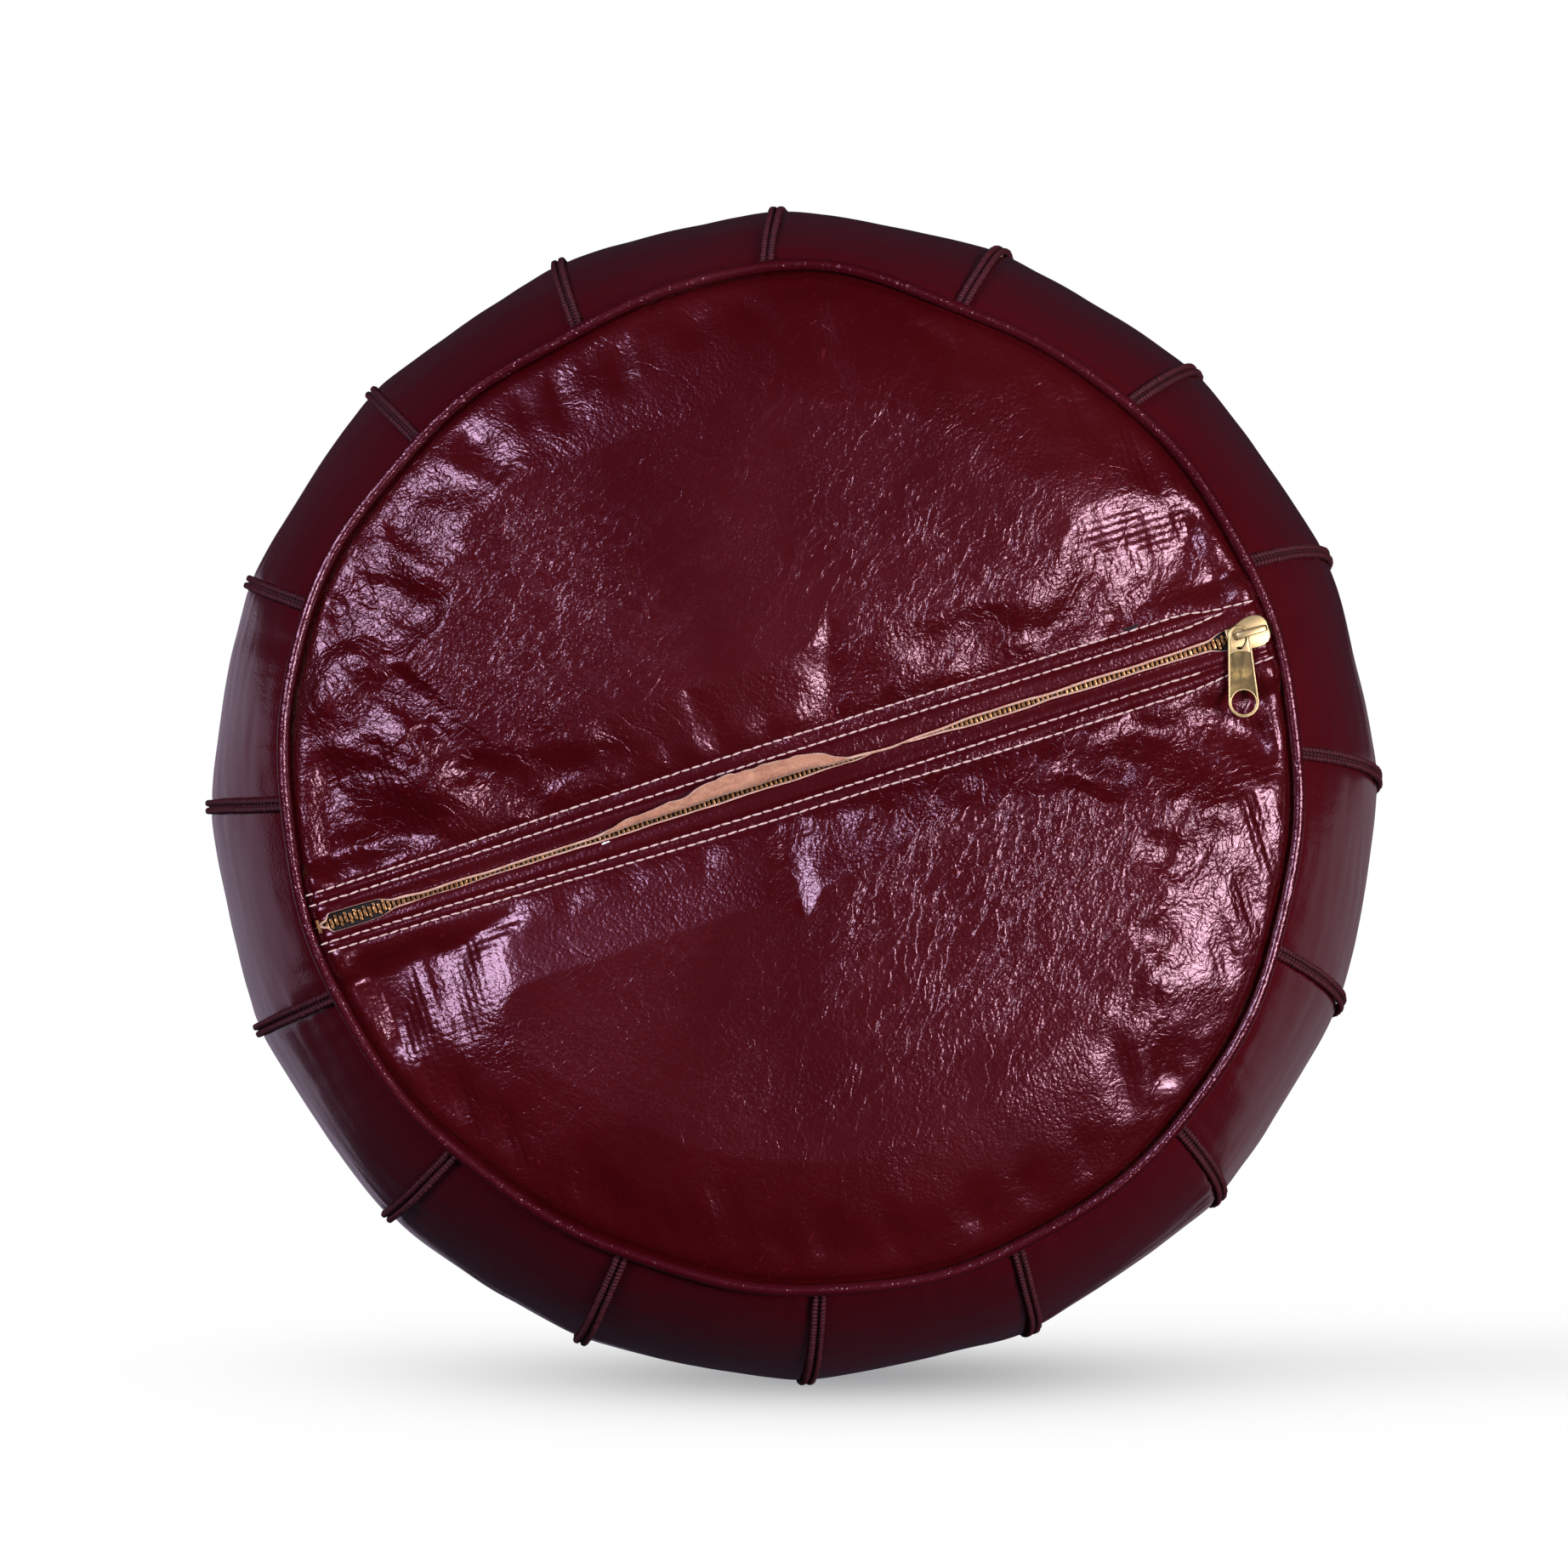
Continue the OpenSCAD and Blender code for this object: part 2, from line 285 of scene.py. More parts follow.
def hide_group() -> bpy.types.NodeTree:
    """Pebble grain, fold lines, tone patches and bright ticks of a glazed goat hide; the ticks are painted
    glints as well as wear.
    """
    found = bpy.data.node_groups.get("hide_surface")
    if found:
        return found
    tree, src, out = new_group(
        "hide_surface",
        [("Vector", "NodeSocketVector", None), ("Wrinkle", "NodeSocketFloat", 0.5),
         ("Grain Depth", "NodeSocketFloat", 0.0001), ("Crease Depth", "NodeSocketFloat", 0.0004),
         ("Deep", "NodeSocketColor", (0.06, 0.005, 0.01, 1)),
         ("Worn", "NodeSocketColor", (0.15, 0.02, 0.02, 1))],
        [("Color", "NodeSocketColor"), ("Height", "NodeSocketFloat"), ("Gloss", "NodeSocketFloat")])
    w = Wiring(tree)
    vec, wrinkle = src.outputs["Vector"], src.outputs["Wrinkle"]
    warp_noise = w.node("ShaderNodeTexNoise", Vector=vec, Scale=38.0, Detail=3.0)
    warp = w.node("ShaderNodeVectorMath", {"operation": "SCALE"})
    w.put(warp.inputs[0], w.vmath("SUBTRACT", warp_noise.outputs["Color"], (0.5, 0.5, 0.5)))
    w.put(warp.inputs["Scale"], 0.022)
    bent = w.vmath("ADD", vec, warp.outputs[0])
    ripple = w.node("ShaderNodeTexNoise", Vector=vec, Scale=420.0, Detail=2.0)
    warp_fine = w.node("ShaderNodeVectorMath", {"operation": "SCALE"})
    w.put(warp_fine.inputs[0], w.vmath("SUBTRACT", ripple.outputs["Color"], (0.5, 0.5, 0.5)))
    w.put(warp_fine.inputs["Scale"], 0.0016)
    # pebble grain: small cells with rounded tops, in patches that are coarser or finer
    cells = w.node("ShaderNodeTexVoronoi", {"feature": "F1"},
                   Vector=w.vmath("ADD", vec, warp_fine.outputs[0]), Scale=640.0)
    pebble = w.math("SUBTRACT", 1.0, w.math("POWER", cells.outputs["Distance"], 1.4))
    fine = w.noise(vec, 1300.0, 2.0)
    patch = w.ramp(w.noise(vec, 22.0, 3.0), 0.30, 0.66)
    grain = w.math("ADD", pebble, w.math("MULTIPLY", fine, 0.6))
    grain_amount = w.math("MULTIPLY", src.outputs["Grain Depth"],
                          w.math("ADD", w.math("MULTIPLY", patch, 0.7),
                                 w.math("ADD", w.math("MULTIPLY", wrinkle, 0.6), 0.15)))
    grain_h = w.math("MULTIPLY", grain, grain_amount)
    # fold lines: ridged noise drawn out along the pull of the hide, which differs from end to end
    across = w.node("ShaderNodeVectorMath", {"operation": "DOT_PRODUCT"})
    w.put(across.inputs[0], vec)
    w.put(across.inputs[1], tuple(float(v) for v in VIEW_RIGHT))
    right_side = w.ramp(across.outputs["Value"], -0.05, 0.02)
    left_side = w.math("SUBTRACT", 1.0, right_side)
    folds = []
    for size, turn, stretch, weight, side in ((85.0, 47.0, 5.5, 1.0, left_side),
                                              (120.0, -22.0, 4.5, 0.6, left_side),
                                              (85.0, -36.0, 5.5, 1.0, right_side),
                                              (120.0, -62.0, 4.5, 0.8, right_side),
                                              (260.0, 10.0, 3.0, 0.35, 1.0)):
        mapping = w.node("ShaderNodeMapping", {"vector_type": "TEXTURE"}, Vector=bent,
                         Rotation=(0.0, 0.0, math.radians(turn)), Scale=(stretch, 1.0, 1.0))
        wave = w.math("ABSOLUTE", w.math("SUBTRACT", w.noise(mapping.outputs[0], size, 2.5), 0.5))
        line = w.math("SUBTRACT", 1.0, w.ramp(wave, 0.0, 0.045))
        folds.append(w.math("MULTIPLY", w.math("MULTIPLY", line, weight), side))
    fold = folds[0]
    for more in folds[1:]:
        fold = w.math("ADD", fold, more)
    place = w.ramp(w.noise(vec, 30.0, 2.0), 0.42, 0.62)
    fold_mask = w.math("MULTIPLY", fold, w.math("ADD", w.math("MULTIPLY", wrinkle, 0.80),
                                                w.math("MULTIPLY", place, 0.16)))
    fold_h = w.math("MULTIPLY", fold_mask, w.math("MULTIPLY", src.outputs["Crease Depth"], -0.6))
    soft = w.math("MULTIPLY", w.noise(bent, 60.0, 2.0), w.math("MULTIPLY", src.outputs["Crease Depth"], 0.9))
    soft = w.math("MULTIPLY", soft, w.math("ADD", w.math("MULTIPLY", wrinkle, 0.8), 0.12))
    height = w.math("ADD", w.math("ADD", grain_h, fold_h), soft)
    # painted glints, partly wear: short bright ticks in a lighter, warmer colour stand in for small highlights
    # on the hide as well as for rubbed wear; there are more of them in the handled patches and in the folds
    glint_ticks = w.ramp(w.noise(w.node("ShaderNodeMapping", {"vector_type": "TEXTURE"}, Vector=bent,
                                  Rotation=(0.0, 0.0, -0.75),
                                  Scale=(4.5, 1.0, 1.0)).outputs[0], 520.0, 2.0, 0.6), 0.64, 0.74)
    handled = w.ramp(w.noise(vec, 16.0, 3.0), 0.45, 0.75)
    worn = w.math("MULTIPLY", glint_ticks, w.math("ADD", w.math("MULTIPLY", handled, 0.5),
                                            w.math("MULTIPLY", wrinkle, 0.4)), clamp=True)
    tone = w.noise(vec, 9.0, 4.0)
    base = w.mix(w.math("MULTIPLY", w.ramp(tone, 0.35, 0.7), 0.35), src.outputs["Deep"],
                 w.mix(0.45, src.outputs["Deep"], src.outputs["Worn"]))
    # the bright ticks are painted in the lighter colour: painted highlights on the hide, partly wear
    w.put(out.inputs["Color"], w.mix(worn, base, src.outputs["Worn"]))
    w.put(out.inputs["Height"], height)
    w.put(out.inputs["Gloss"], w.math("ADD", w.math("MULTIPLY", tone, 0.12),
                                      w.math("MULTIPLY", fold_mask, 0.08)))
    return tree


def weave_group() -> bpy.types.NodeTree:
    """Fibres: a fine noise with a second tone, for thread, tape, cotton, suede and wadding."""
    found = bpy.data.node_groups.get("fibre_surface")
    if found:
        return found
    tree, src, out = new_group(
        "fibre_surface",
        [("Vector", "NodeSocketVector", None), ("Scale", "NodeSocketFloat", 900.0),
         ("Depth", "NodeSocketFloat", 0.0002),
         ("Light", "NodeSocketColor", (1, 1, 1, 1)), ("Dark", "NodeSocketColor", (0.5, 0.5, 0.5, 1))],
        [("Color", "NodeSocketColor"), ("Height", "NodeSocketFloat")])
    w = Wiring(tree)
    fine = w.noise(src.outputs["Vector"], src.outputs["Scale"], 3.0, 0.65)
    broad = w.noise(src.outputs["Vector"], w.math("MULTIPLY", src.outputs["Scale"], 0.18), 3.0)
    mask = w.math("ADD", w.math("MULTIPLY", w.ramp(fine, 0.35, 0.65), 0.5),
                  w.math("MULTIPLY", w.ramp(broad, 0.35, 0.65), 0.5))
    w.put(out.inputs["Color"], w.mix(mask, src.outputs["Dark"], src.outputs["Light"]))
    w.put(out.inputs["Height"], w.math("MULTIPLY", w.math("ADD", fine, broad), src.outputs["Depth"]))
    return tree


def patina_group() -> bpy.types.NodeTree:
    """Patina in blotches and hollows, and the fine scratches of handled brass."""
    found = bpy.data.node_groups.get("patina_surface")
    if found:
        return found
    tree, src, out = new_group(
        "patina_surface",
        [("Vector", "NodeSocketVector", None), ("Scale", "NodeSocketFloat", 220.0),
         ("Amount", "NodeSocketFloat", 0.5),
         ("Bright", "NodeSocketColor", (0.6, 0.5, 0.25, 1)),
         ("Patina", "NodeSocketColor", (0.15, 0.1, 0.05, 1))],
        [("Color", "NodeSocketColor"), ("Mask", "NodeSocketFloat"), ("Height", "NodeSocketFloat")])
    w = Wiring(tree)
    blotch = w.noise(src.outputs["Vector"], src.outputs["Scale"], 4.0, 0.6)
    low = w.math("SUBTRACT", 0.95, src.outputs["Amount"])
    mask = w.ramp(blotch, w.math("SUBTRACT", low, 0.15), w.math("ADD", low, 0.20))
    mask = w.math("ADD", w.math("MULTIPLY", mask, 0.8), w.math("MULTIPLY", src.outputs["Amount"], 0.2),
                  clamp=True)
    scratch = w.noise(w.node("ShaderNodeMapping", Vector=src.outputs["Vector"], Rotation=(0.0, 0.0, 0.5),
                             Scale=(1.0, 0.06, 1.0)).outputs[0], 3200.0, 2.0)
    w.put(out.inputs["Color"], w.mix(mask, src.outputs["Bright"], src.outputs["Patina"]))
    w.put(out.inputs["Mask"], mask)
    w.put(out.inputs["Height"], w.math("ADD", w.math("MULTIPLY", scratch, 0.00001),
                                       w.math("MULTIPLY", blotch, 0.00006)))
    return tree


def start_material(name: str) -> Tuple[bpy.types.Material, Wiring, bpy.types.Node, bpy.types.NodeSocket]:
    """A new material with its Principled node and object coordinates."""
    material = bpy.data.materials.new(name)
    material.use_nodes = True
    w = Wiring(material.node_tree)
    shader = next(n for n in material.node_tree.nodes if n.type == "BSDF_PRINCIPLED")
    place = w.node("ShaderNodeTexCoord").outputs["Object"]
    return material, w, shader, place


def join_bump(w: Wiring, shader: bpy.types.Node, height: bpy.types.NodeSocket, coat: bool = False) -> None:
    """Feeds a height in metres to a shader through one Bump node."""
    bump = w.node("ShaderNodeBump", Height=height, Distance=1.0, Strength=1.0)
    w.put(shader.inputs["Normal"], bump.outputs[0])
    if coat:
        w.put(shader.inputs["Coat Normal"], bump.outputs[0])


def hide_material(finish: HideFinish, wrinkle: Optional[float] = None) -> bpy.types.Material:
    """The material of a glazed hide.

    Args:
        finish: its colours and depths.
        wrinkle: a fixed share of fold lines, or None to read the mesh's own "wrinkle" values.
    Returns:
        The material.
    """
    found = bpy.data.materials.get(finish.name)
    if found:
        return found
    material, w, shader, place = start_material(finish.name)
    group = w.node("ShaderNodeGroup", {"node_tree": hide_group()}, Vector=place, Grain_Depth=finish.grain,
                   Crease_Depth=finish.crease, Deep=rgba(finish.deep), Worn=rgba(finish.worn))
    if wrinkle is None:
        share = w.node("ShaderNodeAttribute", {"attribute_name": "wrinkle"}).outputs["Fac"]
        w.put(group.inputs["Wrinkle"], share)
    else:
        group.inputs["Wrinkle"].default_value = wrinkle
    w.put(shader.inputs["Base Color"], group.outputs["Color"])
    w.put(shader.inputs["Roughness"], w.math("ADD", group.outputs["Gloss"], finish.roughness - 0.06,
                                             clamp=True))
    shader.inputs["Specular IOR Level"].default_value = 0.55
    shader.inputs["Specular Tint"].default_value = (1.0, 0.45, 0.68, 1.0)
    shader.inputs["Coat Weight"].default_value = finish.coat
    shader.inputs["Coat Roughness"].default_value = 0.11
    join_bump(w, shader, group.outputs["Height"], coat=True)
    return material


def cloth_material(finish: ClothFinish) -> bpy.types.Material:
    """The material of a fibrous piece."""
    found = bpy.data.materials.get(finish.name)
    if found:
        return found
    material, w, shader, place = start_material(finish.name)
    group = w.node("ShaderNodeGroup", {"node_tree": weave_group()}, Vector=place, Scale=finish.scale,
                   Depth=finish.depth, Light=rgba(finish.color), Dark=rgba(finish.second))
    w.put(shader.inputs["Base Color"], group.outputs["Color"])
    shader.inputs["Roughness"].default_value = finish.roughness
    shader.inputs["Sheen Weight"].default_value = finish.sheen
    join_bump(w, shader, group.outputs["Height"])
    return material


def brass_material(finish: BrassFinish) -> bpy.types.Material:
    """The material of a brass piece."""
    found = bpy.data.materials.get(finish.name)
    if found:
        return found
    material, w, shader, place = start_material(finish.name)
    group = w.node("ShaderNodeGroup", {"node_tree": patina_group()}, Vector=place, Scale=finish.scale,
                   Amount=finish.amount, Bright=rgba(finish.bright), Patina=rgba(finish.patina))
    w.put(shader.inputs["Base Color"], group.outputs["Color"])
    shader.inputs["Metallic"].default_value = 1.0
    w.put(shader.inputs["Roughness"], w.math("ADD", w.math("MULTIPLY", group.outputs["Mask"], 0.25),
                                             finish.roughness))
    join_bump(w, shader, group.outputs["Height"])
    return material


# ---------------------------------------------------------------- numbers and meshes


def lattice(ix: np.ndarray, iy: np.ndarray, seed: int) -> np.ndarray:
    """A fixed scatter of values from -1 to 1 on whole-number points."""
    h = (ix.astype(np.int64) * 374761393 + iy.astype(np.int64) * 668265263 + seed * 974634777) & 0xFFFFFFFF
    h = ((h ^ (h >> 13)) * 1274126177) & 0xFFFFFFFF
    return ((h ^ (h >> 16)) & 0xFFFF) / 32767.5 - 1.0


def noise(x: np.ndarray, y: np.ndarray, seed: int, octaves: int = 1, gain: float = 0.5) -> np.ndarray:
    """Smooth noise from about -1 to 1, turned a little at each octave."""
    x, y = np.asarray(x, float), np.asarray(y, float)
    total, size, share = np.zeros(np.broadcast(x, y).shape), 0.0, 1.0
    for k in range(octaves):
        c, s = math.cos(0.7 + 1.1 * k), math.sin(0.7 + 1.1 * k)
        u, v = (x * c - y * s) * 2.0**k + 17.3 * k, (x * s + y * c) * 2.0**k - 9.1 * k
        iu, iv = np.floor(u), np.floor(v)
        fu, fv = u - iu, v - iv
        fu, fv = fu**3 * (fu * (fu * 6 - 15) + 10), fv**3 * (fv * (fv * 6 - 15) + 10)
        a, b = lattice(iu, iv, seed + k), lattice(iu + 1, iv, seed + k)
        c0, d = lattice(iu, iv + 1, seed + k), lattice(iu + 1, iv + 1, seed + k)
        total += share * ((a + (b - a) * fu) * (1 - fv) + (c0 + (d - c0) * fu) * fv)
        size += share
        share *= gain
    return total / size


def smooth(t: np.ndarray) -> np.ndarray:
    """A smooth step from 0 to 1."""
    t = np.clip(t, 0.0, 1.0)
    return t * t * (3.0 - 2.0 * t)


def bell(x: np.ndarray, width: float) -> np.ndarray:
    """A bell curve of that half width."""
    return np.exp(-(x / width) ** 2)


def through(x: np.ndarray, points: Sequence[Tuple[float, float]]) -> np.ndarray:
    """A smooth line through control points in millimetres, for x in metres."""
    px = np.array([p[0] for p in points]) * MM
    py = np.array([p[1] for p in points]) * MM
    x = np.clip(np.asarray(x, float), px[0], px[-1])
    i = np.clip(np.searchsorted(px, x) - 1, 0, len(px) - 2)
    t = smooth((x - px[i]) / (px[i + 1] - px[i]))
    return py[i] + (py[i + 1] - py[i]) * t


def grid_normals(points: np.ndarray, wrap: bool = False) -> np.ndarray:
    """Unit normals of a grid of points, from the cross product of its two directions."""
    if wrap:
        du = np.roll(points, -1, 0) - np.roll(points, 1, 0)
    else:
        du = np.gradient(points, axis=0)
    dv = np.gradient(points, axis=1)
    n = np.cross(du, dv)
    return n / np.maximum(np.linalg.norm(n, axis=2, keepdims=True), 1e-12)


def add_mesh(name: str, verts: np.ndarray, faces: Sequence[Sequence[int]],
             materials: Sequence[bpy.types.Material],
             index: Optional[np.ndarray] = None, tidy: bool = True) -> bpy.types.Object:
    """Makes an object from points and faces, smooth shaded and with its faces turned outwards.

    Args:
        name: the piece's name.
        verts: points, in metres.
        faces: lists of point numbers.
        materials: the materials it uses.
        index: the material of each face.
        tidy: whether to merge doubles and turn the faces outwards.
    Returns:
        The object.
    """
    mesh = bpy.data.meshes.new(name)
    mesh.from_pydata([tuple(v) for v in verts], [], [tuple(int(i) for i in f) for f in faces])
    for material in materials:
        mesh.materials.append(material)
    if index is not None:
        mesh.polygons.foreach_set("material_index", np.asarray(index, np.int32))
    if tidy:
        bm = bmesh.new()
        bm.from_mesh(mesh)
        bmesh.ops.remove_doubles(bm, verts=bm.verts, dist=1e-7)
        bmesh.ops.recalc_face_normals(bm, faces=bm.faces)
        bm.to_mesh(mesh)
        bm.free()
    mesh.polygons.foreach_set("use_smooth", np.ones(len(mesh.polygons), bool))
    mesh.update()
    obj = bpy.data.objects.new(name, mesh)
    bpy.context.scene.collection.objects.link(obj)
    return obj


def grid_faces(m: int, n: int, start: int, wrap: bool = False, flip: bool = False) -> np.ndarray:
    """Quads of an m by n grid of points whose first point is number start."""
    i = np.arange(m if wrap else m - 1)
    j = np.arange(n - 1)
    a, b = np.meshgrid(i, j, indexing="ij")
    a, b = a.ravel(), b.ravel()
    c = (a + 1) % m
    quads = np.stack([a * n + b, c * n + b, c * n + b + 1, a * n + b + 1], 1) + start
    return quads[:, ::-1] if flip else quads


def shell(name: str, outer: np.ndarray, thick: np.ndarray, materials: Sequence[bpy.types.Material],
          out_sign: float, wrap: bool = False, attribute: Optional[np.ndarray] = None) -> bpy.types.Object:
    """A closed sheet of leather from a grid of points on its outer face.

    Args:
        name: the piece's name.
        outer: grid of points, m by n by 3.
        thick: thickness at each point.
        materials: outer face, inner face and cut edge.
        out_sign: 1 where the grid's normals point outwards, or -1.
        wrap: whether the first direction is closed.
        attribute: the "wrinkle" value at each point.
    Returns:
        The object.
    """
    m, n, _ = outer.shape
    inner = outer - grid_normals(outer, wrap) * out_sign * thick[:, :, None]
    verts = np.concatenate([outer.reshape(-1, 3), inner.reshape(-1, 3)])
    top, under = grid_faces(m, n, 0, wrap), grid_faces(m, n, m * n, wrap, True)
    first = np.arange(m) * n
    loops = [(first, wrap), (first + n - 1, wrap)]
    if not wrap:
        loops += [(np.arange(n), False), (np.arange(n) + (m - 1) * n, False)]
    sides = []
    for loop, closed in loops:
        nxt = np.roll(loop, -1) if closed else loop[1:]
        cur = loop if closed else loop[:-1]
        sides.append(np.stack([cur, nxt, nxt + m * n, cur + m * n], 1))
    rim = np.concatenate(sides)
    faces = np.concatenate([top, under, rim])
    index = np.concatenate([np.zeros(len(top)), np.full(len(under), min(1, len(materials) - 1)),
                            np.full(len(rim), len(materials) - 1)])
    mesh = bpy.data.meshes.new(name)
    mesh.from_pydata([], [], [])
    mesh.vertices.add(len(verts))
    mesh.vertices.foreach_set("co", verts.astype(np.float32).ravel())
    mesh.loops.add(len(faces) * 4)
    mesh.loops.foreach_set("vertex_index", faces.astype(np.int32).ravel())
    mesh.polygons.add(len(faces))
    mesh.polygons.foreach_set("loop_start", np.arange(len(faces), dtype=np.int32) * 4)
    for material in materials:
        mesh.materials.append(material)
    mesh.update(calc_edges=True)
    mesh.polygons.foreach_set("material_index", index.astype(np.int32))
    if attribute is not None:
        values = mesh.attributes.new("wrinkle", "FLOAT", "POINT")
        values.data.foreach_set("value", np.concatenate([attribute.ravel()] * 2).astype(np.float32))
    bm = bmesh.new()
    bm.from_mesh(mesh)
    bmesh.ops.recalc_face_normals(bm, faces=bm.faces)
    bm.to_mesh(mesh)
    bm.free()
    mesh.polygons.foreach_set("use_smooth", np.ones(len(mesh.polygons), bool))
    mesh.validate()
    mesh.update()
    obj = bpy.data.objects.new(name, mesh)
    bpy.context.scene.collection.objects.link(obj)
    return obj


def finish_piece(obj: bpy.types.Object, body: str, nodes: Sequence[str] = ()) -> bpy.types.Object:
    """Ties a piece to its CAD body and hides the nodes it stands for."""
    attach(obj, body)
    if nodes:
        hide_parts(*nodes)
    return obj


# ---------------------------------------------------------------- the stuffed shape


@dataclass
class Shape:
    """The stuffed form, from the CAD nodes' boxes."""

    piping_r: float
    piping_z: float
    piping_size: float
    edge_r: float
    edge_z: float
    edge_size: float
    body_r: float
    height: float
    valley_h: float = 7.5 * MM
    valley_flat: float = 19.0 * MM
    valley_w: float = 65.0 * MM
    flat_r: float = 120.0 * MM
    settled: Optional[Callable[[np.ndarray, np.ndarray], np.ndarray]] = None

    @classmethod
    def from_frame(cls, nodes: Dict[str, bpy.types.Object]) -> "Shape":
        """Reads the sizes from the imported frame."""
        values = []
        for name in ("bottom_piping", "top_edge_braid"):
            low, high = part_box(name)
            size = (high.z - low.z) / 2
            values += [high.x - size, (high.z + low.z) / 2, size]
        reach = max(math.hypot(v.co.x, v.co.y) for v in nodes["side_panel_01"].data.vertices)
        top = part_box("top_patch")[1].z - 1.6 * MM
        return cls(*values, body_r=reach, height=top)

    @property
    def seam_r(self) -> float:
        """Radius of both edge seams."""
        return self.piping_r - 0.4 * MM

    @property
    def z_low(self) -> float:
        """Height of the bottom seam."""
        return self.piping_z + 0.8 * MM

    @property
    def z_high(self) -> float:
        """Height of the top seam."""
        return self.edge_z - 0.8 * MM

    def rim(self, angle: np.ndarray) -> np.ndarray:
        """How far the hand-sewn base edge strays from a true circle."""
        total = 0.45 * np.sin(16 * (angle - FIRST_SEAM)) + 0.4 * np.sin(7 * angle + 2.0)
        for middle, wide, height in RIM_BUMPS:
            away = np.degrees(angle) + middle - VIEW_TURN
            total = total + height * np.exp(-(((away + 180) % 360 - 180) / wide) ** 2)
        return MM * total

    def dish(self, r: np.ndarray) -> np.ndarray:
        """Height of the base over the floor, without the valley."""
        run = self.seam_r - self.flat_r
        arc = (run * run + self.z_low**2) / (2 * self.z_low)
        inside = np.clip(r - self.flat_r, 0.0, arc * 0.99)
        return arc - np.sqrt(arc * arc - inside * inside) + 0.9 * MM * smooth(r / self.flat_r)

    def valley(self, y: np.ndarray) -> np.ndarray:
        """Height of the shallow valley over the zip."""
        t = np.clip((np.abs(y) - self.valley_flat) / (self.valley_w - self.valley_flat), 0.0, 1.0)
        return self.valley_h * (1 + np.cos(np.pi * t)) / 2

    def masks(self, x: np.ndarray, y: np.ndarray) -> Tuple[np.ndarray, np.ndarray, np.ndarray]:
        """Where the hide is crumpled: near the open end, near the closed end, and anywhere."""
        a = x * VIEW_RIGHT[0] + y * VIEW_RIGHT[1]
        b = x * VIEW_UP[0] + y * VIEW_UP[1]
        ragged = 0.22 * noise(x / 0.035, y / 0.035, 5, 2)
        left = smooth(1.35 - np.hypot((a + 0.150) / 0.090, (b - 0.055) / 0.085) + ragged)
        left = np.maximum(left, 0.22 * smooth(1.1 - np.hypot((a + 0.125) / 0.06,
                                                             (b + 0.125) / 0.035) + ragged))
        right = smooth(1.25 - np.hypot((a - 0.105) / 0.105, (b - 0.005) / 0.115) + ragged)
        return left, right, np.clip(left + right, 0.0, 1.0)

    def creases(self, x: np.ndarray, y: np.ndarray) -> np.ndarray:
        """Height of the lumps and folds of the base leather."""
        left, right, _ = self.masks(x, y)
        a = x * VIEW_RIGHT[0] + y * VIEW_RIGHT[1]
        b = x * VIEW_UP[0] + y * VIEW_UP[1]
        wa = a + 0.006 * noise(a / 0.03, b / 0.03, 21, 2)
        wb = b + 0.006 * noise(a / 0.03, b / 0.03, 22, 2)
        lumps = 2.8 * MM * noise(wa / 0.036, wb / 0.026, 31, 1) + 2.6 * MM * noise(wa / 0.020, wb / 0.013, 33)
        pull = wa * 0.80 + wb * 0.60
        across = -wa * 0.60 + wb * 0.80
        slant = 1.0 - np.abs(noise(across / 0.011, pull / 0.050, 41, 2)) * 2.0
        fan = 1.0 - np.abs(noise(wb / 0.010, wa / 0.034, 43, 2)) * 2.0
        steep_pull = wa * 0.42 + wb * 0.91
        steep_across = -wa * 0.91 + wb * 0.42
        steep = 1.0 - np.abs(noise(steep_across / 0.009, steep_pull / 0.055, 47, 2)) * 2.0
        down = 1.0 - np.abs(noise((wa * 0.5 + wb * 0.87) / 0.012, (wa * 0.87 - wb * 0.5) / 0.060, 45,
                                  2)) * 2.0
        z = left * (lumps - 0.65 * MM * down - 0.40 * MM * slant - 0.15 * MM * fan)
        z = z + right * (0.80 * lumps - 0.60 * MM * steep - 0.45 * MM * slant)
        return z + 0.45 * MM * noise(wa / 0.06, wb / 0.05, 51, 2)

    def base_z(self, x: np.ndarray, y: np.ndarray, detail: bool = True) -> np.ndarray:
        """Height of the base's outer face over the floor."""
        r, angle = np.hypot(x, y), np.arctan2(y, x)
        dish, valley = self.dish(r), self.valley(y)
        # at the zip's ends the leather stays low beside the slider and rises late to the piping
        late = 5.0 * MM + (self.z_low - 5.0 * MM) * smooth((r - 0.1985) / (self.seam_r - 0.1985))
        near = smooth((27 * MM - np.abs(y)) / (9 * MM)) * smooth((r - 0.145) / 0.03)
        dish = dish + (np.minimum(dish, late) - dish) * near
        soft = 1.6 * MM
        z = soft * np.log(np.exp(dish / soft) + np.exp(valley / soft) - 1.0)
        if not detail:
            return z
        from_rim = np.maximum(self.seam_r + self.rim(angle) - r, 0.0)
        band = smooth((np.abs(y) - 10 * MM) / (16 * MM))
        free = band * smooth(from_rim / (16 * MM))
        z = z + self.creases(x, y) * free
        if self.settled is not None:
            z = z + self.settled(x, y) * free
        pucker = np.cos(angle * 96 + 3 * noise(angle * 9, r * 0, 61)) * (0.5 + 0.5 * noise(angle * 14,
                r * 0, 62))
        z = z + 0.45 * MM * pucker * np.exp(-from_rim / (5 * MM))
        z = z + 2.2 * MM * bell(from_rim - 2.0 * MM, 2.6 * MM) - 1.0 * MM * bell(from_rim - 9 * MM, 6 * MM)
        return np.maximum(z, 0.15 * MM)

